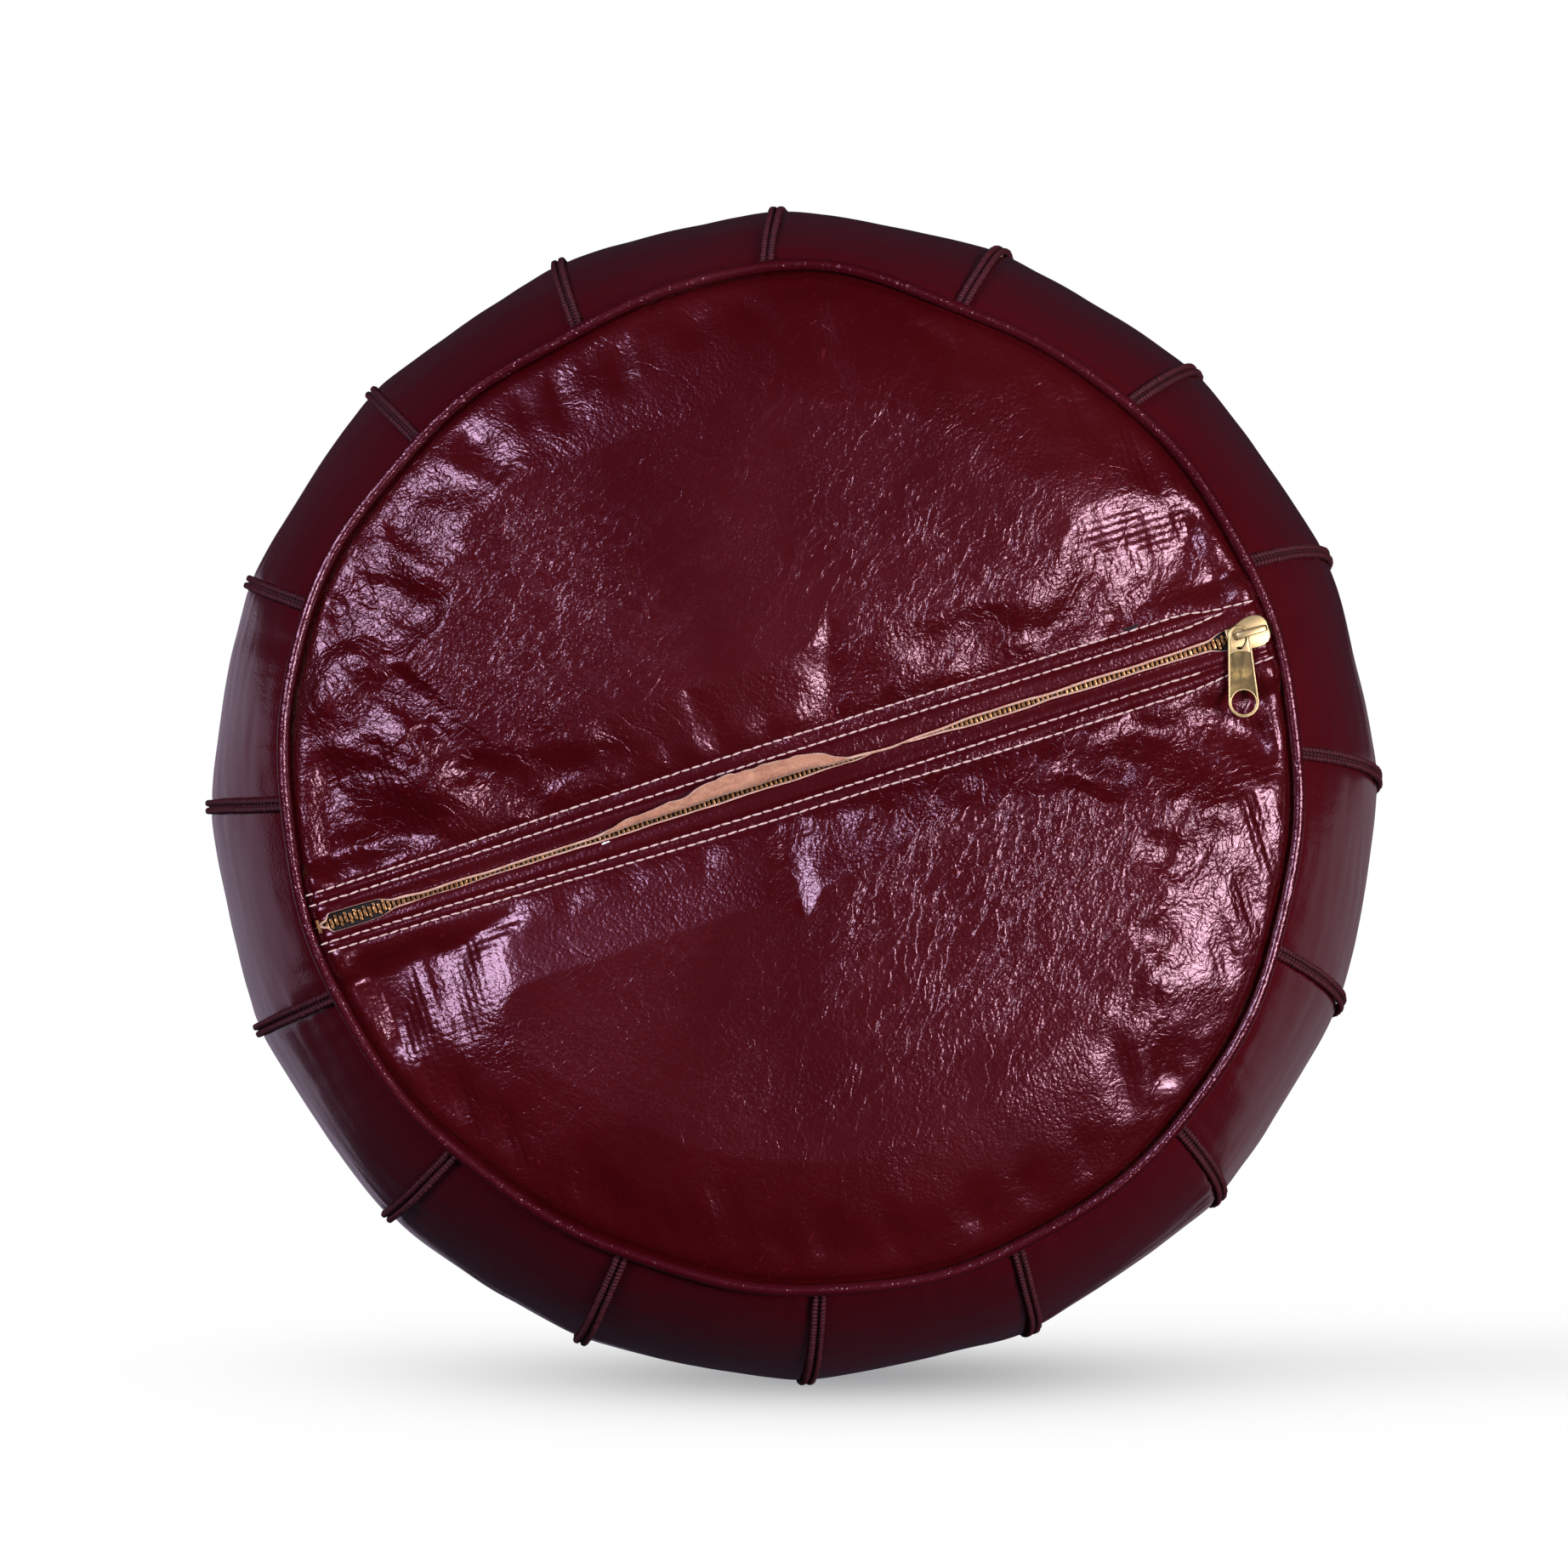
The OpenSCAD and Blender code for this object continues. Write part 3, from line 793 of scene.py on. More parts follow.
    def side_point(self, t: np.ndarray, angle: np.ndarray, lift: np.ndarray) -> np.ndarray:
        """A point on the side, t from the bottom seam (0) to the top seam (1), lifted outwards."""
        half, mid = (self.z_high - self.z_low) / 2, (self.z_high + self.z_low) / 2
        bulge = self.body_r - self.seam_r
        arc = (half * half + bulge * bulge) / (2 * bulge)
        span = math.asin(half / arc)
        turn = (2 * t - 1) * span
        reach = self.body_r - arc + (arc + lift) * np.cos(turn) + self.rim(angle) * np.clip(1 - t * 2.2, 0, 1)
        return np.stack([reach * np.cos(angle), reach * np.sin(angle), mid + (arc + lift) * np.sin(turn)], -1)

    def top_point(self, r: np.ndarray, angle: np.ndarray, lift: np.ndarray) -> np.ndarray:
        """A point on the domed top, lifted outwards."""
        rise = self.height - self.z_high
        arc = (self.seam_r**2 + rise**2) / (2 * rise)
        lean = np.arcsin(np.clip(r / arc, -1, 1))
        reach = (arc + lift) * np.sin(lean)
        return np.stack([reach * np.cos(angle), reach * np.sin(angle),
                         self.height - arc + (arc + lift) * np.cos(lean)], -1)

    def seam_angle(self, k: float, t: np.ndarray) -> np.ndarray:
        """Angle of side seam k at height t; the hand-set seams lean a little."""
        return FIRST_SEAM + k * PITCH + TWIST * (2 * t - 1)


# Bumps of the hand-sewn base edge: angle in the maker's view and width in degrees, height in mm
RIM_BUMPS = [(90, 14, 4.5), (305, 30, 5.0), (160, 14, 3.5), (68, 12, -3.0), (118, 14, -3.2),
             (235, 24, -3.0), (20, 20, -1.2)]
# Distance of the raw edges from the zip's line, and how much of each edge is rolled outwards (mm)
EDGE_LINE = {
    Half.FRONT: [(-206, 0.9), (-201.5, 1.1), (-198, 2.6), (-194.5, 4.15), (-176, 4.15), (-168, 3.3),
                 (-155, 2.3), (-85, 2.4), (-60, 3.4), (-20, 3.9), (5, 3.7),
                 (25, 2.2), (39, 1.2), (60, 2.2), (80, 2.9), (160, 3.0), (176, 3.4), (184, 4.6), (199, 4.6),
                 (203.5, 2.6), (206, 0.9)],
    Half.BACK: [(-206, 0.9), (-201.5, 1.1), (-198, 2.6), (-194.5, 4.15), (-176, 4.15), (-168, 3.2),
                (-155, 2.3), (-85, 2.6), (25, 2.4), (39, 1.3), (60, 2.2),
                (80, 2.9), (160, 3.0), (176, 3.4), (184, 4.6), (199, 4.6), (203.5, 2.6), (206, 0.9)],
}
ROLL = {
    Half.FRONT: [(-206, 1.4), (-198, 1.4), (-195.5, 0.3), (-176, 0.3), (-166, 1.7), (-130, 1.5), (-92, 1.4),
                 (-64, 5.2), (-22, 8.6), (0, 8.8), (12, 7.0),
                 (28, 2.0), (40, 1.3), (70, 1.5), (130, 1.8), (174, 1.5), (183, 0.3), (206, 0.3)],
    Half.BACK: [(-206, 1.4), (-198, 1.4), (-195.5, 0.3), (-176, 0.3), (-166, 1.0), (-155, 0.5), (-90, 1.2),
                (0, 1.2), (100, 1.3), (174, 1.2), (183, 0.3), (206, 0.3)],
}
ROWS = {
    Half.FRONT: [[(-200, 13.5), (0, 16.0), (168, 15.5), (185, 13.2), (197, 12.3)],
                 [(-200, 8.9), (0, 10.1), (168, 9.6), (184, 11.0)]],
    Half.BACK: [[(-200, 7.2), (0, 10.0), (168, 9.2)],
                [(-198, 11.0), (0, 14.3), (100, 15.4), (160, 15.3), (198, 12.2)]],
}


@dataclass
class BaseHalf:
    """One half of the base: a sheet of leather from its raw, turned edge at the zip to the piping."""

    shape: Shape
    half: Half
    columns: int = 520
    rows: int = 170
    curl_rows: int = 22
    roll_r: float = 1.25 * MM

    def grid(self, columns: int, rows: int, curl_rows: int, detail: bool) -> Tuple[np.ndarray, np.ndarray]:
        """Points of the outer face, and the distance of each along the sheet from its raw edge."""
        sign, shape = self.half.value, self.shape
        reach = shape.seam_r - 1.2 * MM
        start = math.asin(7.2 * MM / reach)
        phi = np.linspace(math.pi - start, start, columns)[:, None]
        x = reach * np.cos(phi)
        edge = through(x, EDGE_LINE[self.half]) + 0.35 * MM * noise(x / 0.012, x * 0, 71)
        length = through(x, ROLL[self.half]) * (1 + 0.16 * noise(x / 0.007, x * 0, 72, 2))
        share = np.linspace(0, 1, rows)[None, :] ** 1.25
        ang = np.arctan2(reach * np.sin(phi) * sign, x)
        rim_y = reach * np.sin(phi) + shape.rim(ang) * np.sin(phi)
        y = edge + (rim_y - edge) * share
        xs = np.broadcast_to(x + shape.rim(ang) * np.cos(phi) * share, y.shape)
        z = shape.base_z(xs, y * sign, detail)
        if detail:
            z = z + self.grooves(xs, y)
            sag = self.flap_sag(xs, y)
            z = z + sag
        flat = np.stack([xs, y * sign, z], -1)
        # the turned edge: a strip that bends outwards until it lies back on the leather
        back = np.linspace(1, 0, curl_rows, endpoint=False)[None, :] * length
        angle = np.minimum(back / self.roll_r, 2.75)
        straight = np.maximum(back - 2.75 * self.roll_r, 0.0)
        dy = -self.roll_r * np.sin(angle) + straight * -np.cos(angle)
        dz = -self.roll_r * (1 - np.cos(angle)) - straight * np.sin(angle)
        wave = 0.55 * MM * noise(np.broadcast_to(x, back.shape) / 0.0045, back / 0.0025, 73,
                                 2) * (back > 3 * MM)
        curl = np.stack([np.broadcast_to(x, back.shape), (edge + dy) * sign, z[:, :1] + dz + wave], -1)
        points = np.concatenate([curl, flat], 1)
        along = np.concatenate([length - back, length + (y - edge)], 1)
        return points, along

    def grooves(self, x: np.ndarray, y: np.ndarray) -> np.ndarray:
        """Dents that the rows of stitches pull into the leather, and the raised hem between them."""
        first, second = (through(x, row) for row in ROWS[self.half])
        dent = 0.55 * MM * (bell(y - first, 1.3 * MM) + bell(y - second, 1.3 * MM))
        inner, outer = np.minimum(first, second), np.maximum(first, second)
        hem = -0.45 * MM * smooth((y - 3 * MM) / (3 * MM)) * smooth((inner - y) / (3 * MM))
        return dent + hem - 0.35 * MM * bell(y - (inner + outer) / 2,
                                             2.0 * MM) - 0.5 * MM * bell(y - outer - 5 * MM, 4 * MM)

    def flap_sag(self, x: np.ndarray, y: np.ndarray) -> np.ndarray:
        """The slack edge bellies a little towards the floor where the mouth gapes."""
        gape = bell(x + 0.02, 0.06) * (1.0 if self.half is Half.FRONT else 0.5)
        return -1.0 * MM * gape * smooth((12 * MM - y) / (8 * MM))

    def build(self) -> bpy.types.Object:
        """Makes the piece."""
        points, along = self.grid(self.columns, self.rows, self.curl_rows, True)
        _, _, wrinkle = self.shape.masks(points[..., 0], points[..., 1])
        calm = smooth((np.abs(points[..., 1]) - 9 * MM) / (10 * MM))
        wrinkle = np.clip(0.26 + wrinkle, 0, 1) * (0.15 + 0.85 * calm)
        thick = LEATHER * (0.68 + 0.32 * smooth(along / (7 * MM)))
        name = "bottom_panel_" + self.half.name.lower()
        materials = [hide_material(BASE_HIDE), cloth_material(SUEDE), cloth_material(CUT_EDGE)]
        out_sign = -1.0 if self.upwards(points) else 1.0
        piece = shell("base_leather_" + self.half.name.lower(), points, thick, materials, out_sign,
                      attribute=wrinkle)
        return finish_piece(piece, "root", [name])

    @staticmethod
    def upwards(points: np.ndarray) -> bool:
        """Whether the grid's own normals point up, into the pouf."""
        n = grid_normals(points[::20, 40::20])
        return float(n[..., 2].mean()) > 0


@dataclass
class Settling:
    """Cloth simulation of the slack base leather under the push of the stuffing."""

    shape: Shape
    columns: int = 120
    rows: int = 38
    cap: float = 4.0 * MM
    frames: int = 20

    def settle_half(self, half: Half) -> Tuple[np.ndarray, np.ndarray, np.ndarray]:
        """Settles one half and returns x, y and the change of height of its points."""
        sheet = BaseHalf(self.shape, half)
        points, _ = sheet.grid(self.columns, self.rows, 2, False)
        points = points[:, 2:]
        m, n, _ = points.shape
        obj = add_mesh("settling", points.reshape(-1, 3), grid_faces(m, n, 0), [], tidy=False)
        fixed = np.zeros((m, n))
        fixed[0], fixed[-1], fixed[:, :3], fixed[:, -2:] = 1, 1, 1, 1
        group = obj.vertex_groups.new(name="held")
        group.add([int(i) for i in np.flatnonzero(fixed.ravel())], 1.0, "REPLACE")
        start = points[..., 2].copy()
        cloth = obj.modifiers.new("cloth", "CLOTH")
        s = cloth.settings
        s.quality, s.mass, s.air_damping = 6, 0.6, 4.0
        s.tension_stiffness = s.compression_stiffness = s.shear_stiffness = 30.0
        s.bending_stiffness = 2.0
        s.vertex_group_mass = "held"
        s.pin_stiffness = 1.0
        s.shrink_min = -0.022
        s.use_pressure, s.uniform_pressure_force = True, 4.0 if self.faces_down(obj) else -4.0
        s.effector_weights.gravity = 0.0
        scene = bpy.context.scene
        cloth.point_cache.frame_start, cloth.point_cache.frame_end = 1, self.frames
        for frame in range(1, self.frames + 1):
            scene.frame_set(frame)
        settled = obj.evaluated_get(bpy.context.evaluated_depsgraph_get())
        co = np.zeros(m * n * 3, np.float32)
        settled.data.vertices.foreach_get("co", co)
        lift = np.clip(co.reshape(m, n, 3)[..., 2] - start, -self.cap, self.cap)
        scene.frame_set(1)
        bpy.data.objects.remove(obj)
        return points[..., 0], points[..., 1], np.nan_to_num(lift)

    @staticmethod
    def faces_down(obj: bpy.types.Object) -> bool:
        """Whether the sheet's faces look down, away from the stuffing."""
        return obj.data.polygons[len(obj.data.polygons) // 2].normal.z < 0

    def run(self) -> Callable[[np.ndarray, np.ndarray], np.ndarray]:
        """Settles both halves and returns the change of height as a function of place."""
        step = 3.0 * MM
        size = int(0.42 / step) + 1
        total, weight = np.zeros((size, size)), np.zeros((size, size))
        for half in Half:
            x, y, lift = self.settle_half(half)
            log.info("settled %s: %.2f to %.2f mm", half.name, lift.min() / MM, lift.max() / MM)
            lift = lift - lift.mean()
            i = np.clip(((x + 0.21) / step).round().astype(int), 0, size - 1)
            j = np.clip(((y + 0.21) / step).round().astype(int), 0, size - 1)
            np.add.at(total, (i, j), lift)
            np.add.at(weight, (i, j), 1.0)
        for _ in range(6):
            spread_t, spread_w = self.blur(total), self.blur(weight)
            empty = weight < 0.5
            total = np.where(empty, spread_t, total)
            weight = np.where(empty, spread_w, weight)
        grid = self.blur(total / np.maximum(weight, 1e-6))

        def read(x: np.ndarray, y: np.ndarray) -> np.ndarray:
            """The settled change of height at the points."""
            u, v = np.clip((x + 0.21) / step, 0, size - 1.001), np.clip((y + 0.21) / step, 0, size - 1.001)
            i, j = u.astype(int), v.astype(int)
            fu, fv = smooth(u - i), smooth(v - j)
            low = grid[i, j] * (1 - fu) + grid[i + 1, j] * fu
            high = grid[i, j + 1] * (1 - fu) + grid[i + 1, j + 1] * fu
            return low * (1 - fv) + high * fv

        return read

    @staticmethod
    def blur(a: np.ndarray) -> np.ndarray:
        """The mean of each point and its neighbours."""
        return (a + np.roll(a, 1, 0) + np.roll(a, -1, 0) + np.roll(a, 1, 1) + np.roll(a, -1, 1)) / 5.0


@dataclass
class Panels:
    """The side panels, the top wedges and the patch."""

    shape: Shape

    def side(self, k: int) -> bpy.types.Object:
        """Side panel k, from one seam to the next."""
        m, n = 46, 84
        s, t = np.linspace(0, 1, m)[:, None], np.linspace(0.012, 0.994, n)[None, :]
        low, high = self.shape.seam_angle(k, t), self.shape.seam_angle(k + 1, t)
        gap = 0.0012
        angle = low + gap + (high - low - 2 * gap) * s
        seam = np.minimum(s, 1 - s) * 98 * MM
        belly = np.sin(np.pi * t)
        u, v = s * 4.0 + 37.1 * k, t * 6.0
        lift = -2.6 * MM * (4 * s * (1 - s)) * belly - 1.4 * MM * np.exp(-seam / (2.2 * MM))
        lift = lift + 0.9 * MM * noise(u * 0.7, v * 0.8, 81, 2) * belly
        lift = lift + 0.22 * MM * noise(u * 0.9, v * 9.0, 83, 2)
        strain = np.exp(-seam / (16 * MM)) * noise(v * 5.0, u * 0.6, 84)
        gather = np.exp(-t * 12.0) + np.exp(-(1 - t) * 12.0)
        lift = lift + 0.35 * MM * strain + 0.7 * MM * gather * noise(s * 13 + 5 * k, t * 3, 85, 2)
        lift = lift - 1.3 * MM * np.exp(-t * 70.0) - 0.5 * MM * np.exp(-(1 - t) * 70.0)
        points = self.shape.side_point(t + 0 * s, angle, lift)
        wrinkle = np.clip(0.25 * gather + 0.08 + 0.15 * noise(u, v, 86), 0, 1) + 0 * points[..., 0]
        piece = shell(f"side_hide_{k + 1:02d}", points, np.full(points.shape[:2], LEATHER),
                      [hide_material(SIDE_HIDE), cloth_material(SUEDE)], 1.0, attribute=wrinkle)
        return finish_piece(piece, "root", [f"side_panel_{k + 1:02d}"])

    def wedge(self, k: int) -> bpy.types.Object:
        """Top wedge k, from under the patch to the edge braid."""
        m, n = 40, 72
        s, t = np.linspace(0, 1, m)[:, None], np.linspace(0, 1, n)[None, :]
        inner, outer = 20.5 * MM, self.shape.seam_r - 1.8 * MM
        r = inner + (outer - inner) * t
        start = self.shape.seam_angle(k, np.array(1.0))
        gap = 0.35 * MM / r
        angle = start + gap + (PITCH - 2 * gap) * s
        seam = np.minimum(s, 1 - s) * PITCH * r
        puff = 3.2 * MM * np.sqrt(np.clip(4 * s * (1 - s), 0, 1)) * smooth(t * 3) * smooth((1 - t) * 7)
        lift = puff - 1.0 * MM * np.exp(-seam / (2.0 * MM)) + 0.8 * MM * noise(r / 0.05, s * 2 + 9.7 * k,
                91, 2)
        lift = lift + 0.3 * MM * noise(r / 0.012, s * 5 + 3.3 * k, 92, 2) * np.exp(-seam / (12 * MM))
        points = self.shape.top_point(r + 0 * s, angle, lift)
        wrinkle = np.clip(0.22 + 0.2 * noise(r / 0.04, s * 3 + 5 * k, 93), 0, 1) + 0 * points[..., 0]
        piece = shell(f"top_hide_{k + 1:02d}", points, np.full(points.shape[:2], LEATHER),
                      [hide_material(TOP_HIDE), cloth_material(SUEDE)], -1.0, attribute=wrinkle)
        return finish_piece(piece, "root", [f"top_wedge_{k + 1:02d}"])

    def patch(self) -> bpy.types.Object:
        """The round patch where the wedges meet, with two pressed rings."""
        m, n = 96, 30
        angle, t = np.linspace(0, 2 * np.pi, m, endpoint=False)[:, None], np.linspace(0.004, 1, n)[None, :]
        r = 26 * MM * t
        lift = 2.6 * MM + 1.2 * MM * (1 - t**2) - 0.9 * MM * smooth((t - 0.93) / 0.07)
        lift = lift - 0.35 * MM * (bell(r - 22.5 * MM, 0.8 * MM) + bell(r - 8 * MM, 0.8 * MM))
        lift = lift + 0.10 * MM * np.cos(angle * 60) * bell(r - 24.5 * MM, 1.5 * MM)
        points = self.shape.top_point(r + 0 * angle, angle + 0 * t, lift)
        piece = shell("top_patch_hide", points, np.full(points.shape[:2], 1.6 * MM),
                      [hide_material(TOP_HIDE)], -1.0, wrap=True)
        values = piece.data.attributes.new("wrinkle", "FLOAT", "POINT")
        values.data.foreach_set("value", np.full(len(piece.data.vertices), 0.3, np.float32))
        return finish_piece(piece, "root", ["top_patch"])

    def build(self) -> None:
        """Makes every panel, wedge and the patch."""
        for k in range(PANELS):
            self.side(k)
            self.wedge(k)
        self.patch()


# ---------------------------------------------------------------- lines of repeated pieces


def line_mesh(name: str, lines: Sequence[Tuple[np.ndarray, np.ndarray]],
              closed: bool = False) -> bpy.types.Object:
    """A mesh of edges along lines, with the outward direction of each point in "out"."""
    verts, outs, edges = [], [], []
    for points, out in lines:
        start = len(verts)
        verts += [tuple(p) for p in points]
        outs += [tuple(o) for o in out]
        edges += [(start + i, start + i + 1) for i in range(len(points) - 1)]
        if closed:
            edges.append((start + len(points) - 1, start))
    mesh = bpy.data.meshes.new(name)
    mesh.from_pydata(verts, edges, [])
    attribute = mesh.attributes.new("out", "FLOAT_VECTOR", "POINT")
    attribute.data.foreach_set("vector", np.array(outs, np.float32).ravel())
    obj = bpy.data.objects.new(name, mesh)
    bpy.context.scene.collection.objects.link(obj)
    return obj


def repeat_group(name: str) -> bpy.types.NodeTree:
    """Geometry nodes that set copies of a unit along lines, their Z outwards and X along the line."""
    found = bpy.data.node_groups.get(name)
    if found:
        return found
    tree = bpy.data.node_groups.new(name, "GeometryNodeTree")
    for label, kind, value in (("Geometry", "NodeSocketGeometry", None), ("Unit", "NodeSocketObject", None),
                               ("Pitch", "NodeSocketFloat", 0.004), ("Jitter", "NodeSocketFloat", 0.0),
                               ("Size Jitter", "NodeSocketFloat", 0.0), ("Seed", "NodeSocketInt", 1),
                               ("Material", "NodeSocketMaterial", None)):
        item = tree.interface.new_socket(label, in_out="INPUT", socket_type=kind)
        if value is not None:
            item.default_value = value
    tree.interface.new_socket("Geometry", in_out="OUTPUT", socket_type="NodeSocketGeometry")
    w = Wiring(tree)
    src, out = tree.nodes.new("NodeGroupInput"), tree.nodes.new("NodeGroupOutput")
    curve = w.node("GeometryNodeMeshToCurve")
    w.put(curve.inputs[0], src.outputs["Geometry"])
    even = w.node("GeometryNodeResampleCurve", {"mode": "LENGTH"})
    w.put(even.inputs["Curve"], curve.outputs[0])
    w.put(even.inputs["Length"], src.outputs["Pitch"])
    tangent = w.node("GeometryNodeInputTangent")
    outward = w.node("GeometryNodeInputNamedAttribute", {"data_type": "FLOAT_VECTOR"}, Name="out")
    axes = w.node("FunctionNodeAxesToRotation")
    axes.primary_axis, axes.secondary_axis = "Z", "X"
    w.put(axes.inputs["Primary Axis"], outward.outputs["Attribute"])
    w.put(axes.inputs["Secondary Axis"], tangent.outputs[0])
    unit = w.node("GeometryNodeObjectInfo")
    w.put(unit.inputs["Object"], src.outputs["Unit"])
    place = w.node("GeometryNodeInstanceOnPoints")
    w.put(place.inputs["Points"], even.outputs[0])
    w.put(place.inputs["Instance"], unit.outputs["Geometry"])
    w.put(place.inputs["Rotation"], axes.outputs[0])
    sizes = w.node("FunctionNodeRandomValue", {"data_type": "FLOAT"})
    w.put(sizes.inputs[2], w.math("SUBTRACT", 1.0, src.outputs["Size Jitter"]))
    w.put(sizes.inputs[3], w.math("ADD", 1.0, src.outputs["Size Jitter"]))
    w.put(sizes.inputs["Seed"], src.outputs["Seed"])
    w.put(place.inputs["Scale"], sizes.outputs[1])
    turns = w.node("FunctionNodeRandomValue", {"data_type": "FLOAT"})
    w.put(turns.inputs[2], w.math("MULTIPLY", src.outputs["Jitter"], -1.0))
    w.put(turns.inputs[3], src.outputs["Jitter"])
    w.put(turns.inputs["Seed"], w.math("ADD", src.outputs["Seed"], 7.0))
    spin = w.node("ShaderNodeCombineXYZ")
    w.put(spin.inputs["Z"], turns.outputs[1])
    turned = w.node("GeometryNodeRotateInstances")
    w.put(turned.inputs["Instances"], place.outputs[0])
    w.put(turned.inputs["Rotation"], spin.outputs[0])
    real = w.node("GeometryNodeRealizeInstances")
    w.put(real.inputs[0], turned.outputs[0])
    paint = w.node("GeometryNodeSetMaterial")
    w.put(paint.inputs["Geometry"], real.outputs[0])
    w.put(paint.inputs["Material"], src.outputs["Material"])
    shade = w.node("GeometryNodeSetShadeSmooth")
    w.put(shade.inputs["Geometry"], paint.outputs[0])
    w.put(out.inputs[0], shade.outputs[0])
    return tree


def piping_group() -> bpy.types.NodeTree:
    """Geometry nodes that sweep a puckered round welt along a closed line."""
    tree = bpy.data.node_groups.new("welt_sweep", "GeometryNodeTree")
    for label, kind, value in (("Geometry", "NodeSocketGeometry", None),
                               ("Radius", "NodeSocketFloat", 0.0024),
                               ("Sides", "NodeSocketInt", 14), ("Pitch", "NodeSocketFloat", 0.0012),
                               ("Pucker", "NodeSocketFloat", 0.12), ("Seed", "NodeSocketFloat", 3.0),
                               ("Material", "NodeSocketMaterial", None)):
        item = tree.interface.new_socket(label, in_out="INPUT", socket_type=kind)
        if value is not None:
            item.default_value = value
    tree.interface.new_socket("Geometry", in_out="OUTPUT", socket_type="NodeSocketGeometry")
    w = Wiring(tree)
    src, out = tree.nodes.new("NodeGroupInput"), tree.nodes.new("NodeGroupOutput")
    curve = w.node("GeometryNodeMeshToCurve")
    w.put(curve.inputs[0], src.outputs["Geometry"])
    even = w.node("GeometryNodeResampleCurve", {"mode": "LENGTH"})
    w.put(even.inputs["Curve"], curve.outputs[0])
    w.put(even.inputs["Length"], src.outputs["Pitch"])
    place = w.node("GeometryNodeInputPosition")
    fine = w.node("ShaderNodeTexNoise", {"noise_dimensions": "4D"}, Vector=place.outputs[0], Scale=190.0,
                  Detail=2.0)
    w.put(fine.inputs["W"], src.outputs["Seed"])
    swell = w.math("ADD", 1.0, w.math("MULTIPLY", w.math("SUBTRACT", fine.outputs[0], 0.5),
                                      w.math("MULTIPLY", src.outputs["Pucker"], 4.0)))
    sized = w.node("GeometryNodeSetCurveRadius")
    w.put(sized.inputs["Curve"], even.outputs[0])
    w.put(sized.inputs["Radius"], swell)
    ring = w.node("GeometryNodeCurvePrimitiveCircle")
    w.put(ring.inputs["Resolution"], src.outputs["Sides"])
    w.put(ring.inputs["Radius"], src.outputs["Radius"])
    sweep = w.node("GeometryNodeCurveToMesh")
    w.put(sweep.inputs["Curve"], sized.outputs[0])
    w.put(sweep.inputs["Profile Curve"], ring.outputs[0])
    real = w.node("GeometryNodeRealizeInstances")
    w.put(real.inputs[0], sweep.outputs[0])
    paint = w.node("GeometryNodeSetMaterial")
    w.put(paint.inputs["Geometry"], real.outputs[0])
    w.put(paint.inputs["Material"], src.outputs["Material"])
    shade = w.node("GeometryNodeSetShadeSmooth")
    w.put(shade.inputs["Geometry"], paint.outputs[0])
    w.put(out.inputs[0], shade.outputs[0])
    return tree


def bake(line: bpy.types.Object, tree: bpy.types.NodeTree, name: str, **inputs: object) -> bpy.types.Object:
    """Runs a geometry group on a line once and keeps its mesh as a plain piece.

    Args:
        line: the object that carries the line.
        tree: the geometry group.
        name: the piece's name.
        **inputs: the group's inputs by name, with _ for a space.
    Returns:
        The piece.
    """
    modifier = line.modifiers.new("rule", "NODES")
    modifier.node_group = tree
    ids = {item.name: item.identifier for item in tree.interface.items_tree
           if item.item_type == "SOCKET" and item.in_out == "INPUT"}
    for key, value in inputs.items():
        modifier[ids[key.replace("_", " ")]] = value
    line.update_tag()
    bpy.context.view_layer.update()
    graph = bpy.context.evaluated_depsgraph_get()
    mesh = bpy.data.meshes.new_from_object(line.evaluated_get(graph), depsgraph=graph)
    mesh.name = name
    for left in [a.name for a in mesh.attributes if a.name in ("out",)]:
        mesh.attributes.remove(mesh.attributes[left])
    if not mesh.materials:
        mesh.materials.append(inputs["Material"])
    piece = bpy.data.objects.new(name, mesh)
    bpy.context.scene.collection.objects.link(piece)
    bpy.data.objects.remove(line)
    return piece


def grain_parts(center: Tuple[float, float, float], size: Tuple[float, float, float], slant: float,
                around: int = 6, rings: int = 3) -> Tuple[List[Tuple[float, float, float]],
                                                          List[Tuple[int, ...]]]:
    """Points and faces of a small rounded grain, slanted about Z."""
    verts: List[Tuple[float, float, float]] = []
    faces: List[Tuple[int, ...]] = []
    c, s = math.cos(slant), math.sin(slant)

    def put(x: float, y: float, z: float) -> None:
        """Adds one point, given in half sizes of the grain."""
        x, y, z = x * size[0] / 2, y * size[1] / 2, z * size[2] / 2
        verts.append((center[0] + x * c - y * s, center[1] + x * s + y * c, center[2] + z))

    put(-1, 0, 0)
    for i in range(1, rings + 1):
        lat = math.pi * i / (rings + 1)
        for j in range(around):
            lon = 2 * math.pi * j / around
            put(-math.cos(lat), math.sin(lat) * math.cos(lon), math.sin(lat) * math.sin(lon))
    put(1, 0, 0)
    last = len(verts) - 1
    for j in range(around):
        k = (j + 1) % around
        faces.append((0, 1 + k, 1 + j))
        for i in range(rings - 1):
            a, b = 1 + i * around, 1 + (i + 1) * around
            faces.append((a + j, a + k, b + k, b + j))
        end = 1 + (rings - 1) * around
        faces.append((last, end + j, end + k))
    return verts, faces


def unit_object(name: str, parts: Sequence[Tuple[List[Tuple[float, float, float]],
                                                 List[Tuple[int, ...]]]]) -> bpy.types.Object:
    """A hidden object made of several closed parts, to be repeated along lines."""
    verts: List[Tuple[float, float, float]] = []
    faces: List[Tuple[int, ...]] = []
    for points, quads in parts:
        start = len(verts)
        verts += points
        faces += [tuple(i + start for i in f) for f in quads]
    obj = add_mesh(name, np.array(verts), faces, [])
    obj.hide_render = True
    return obj


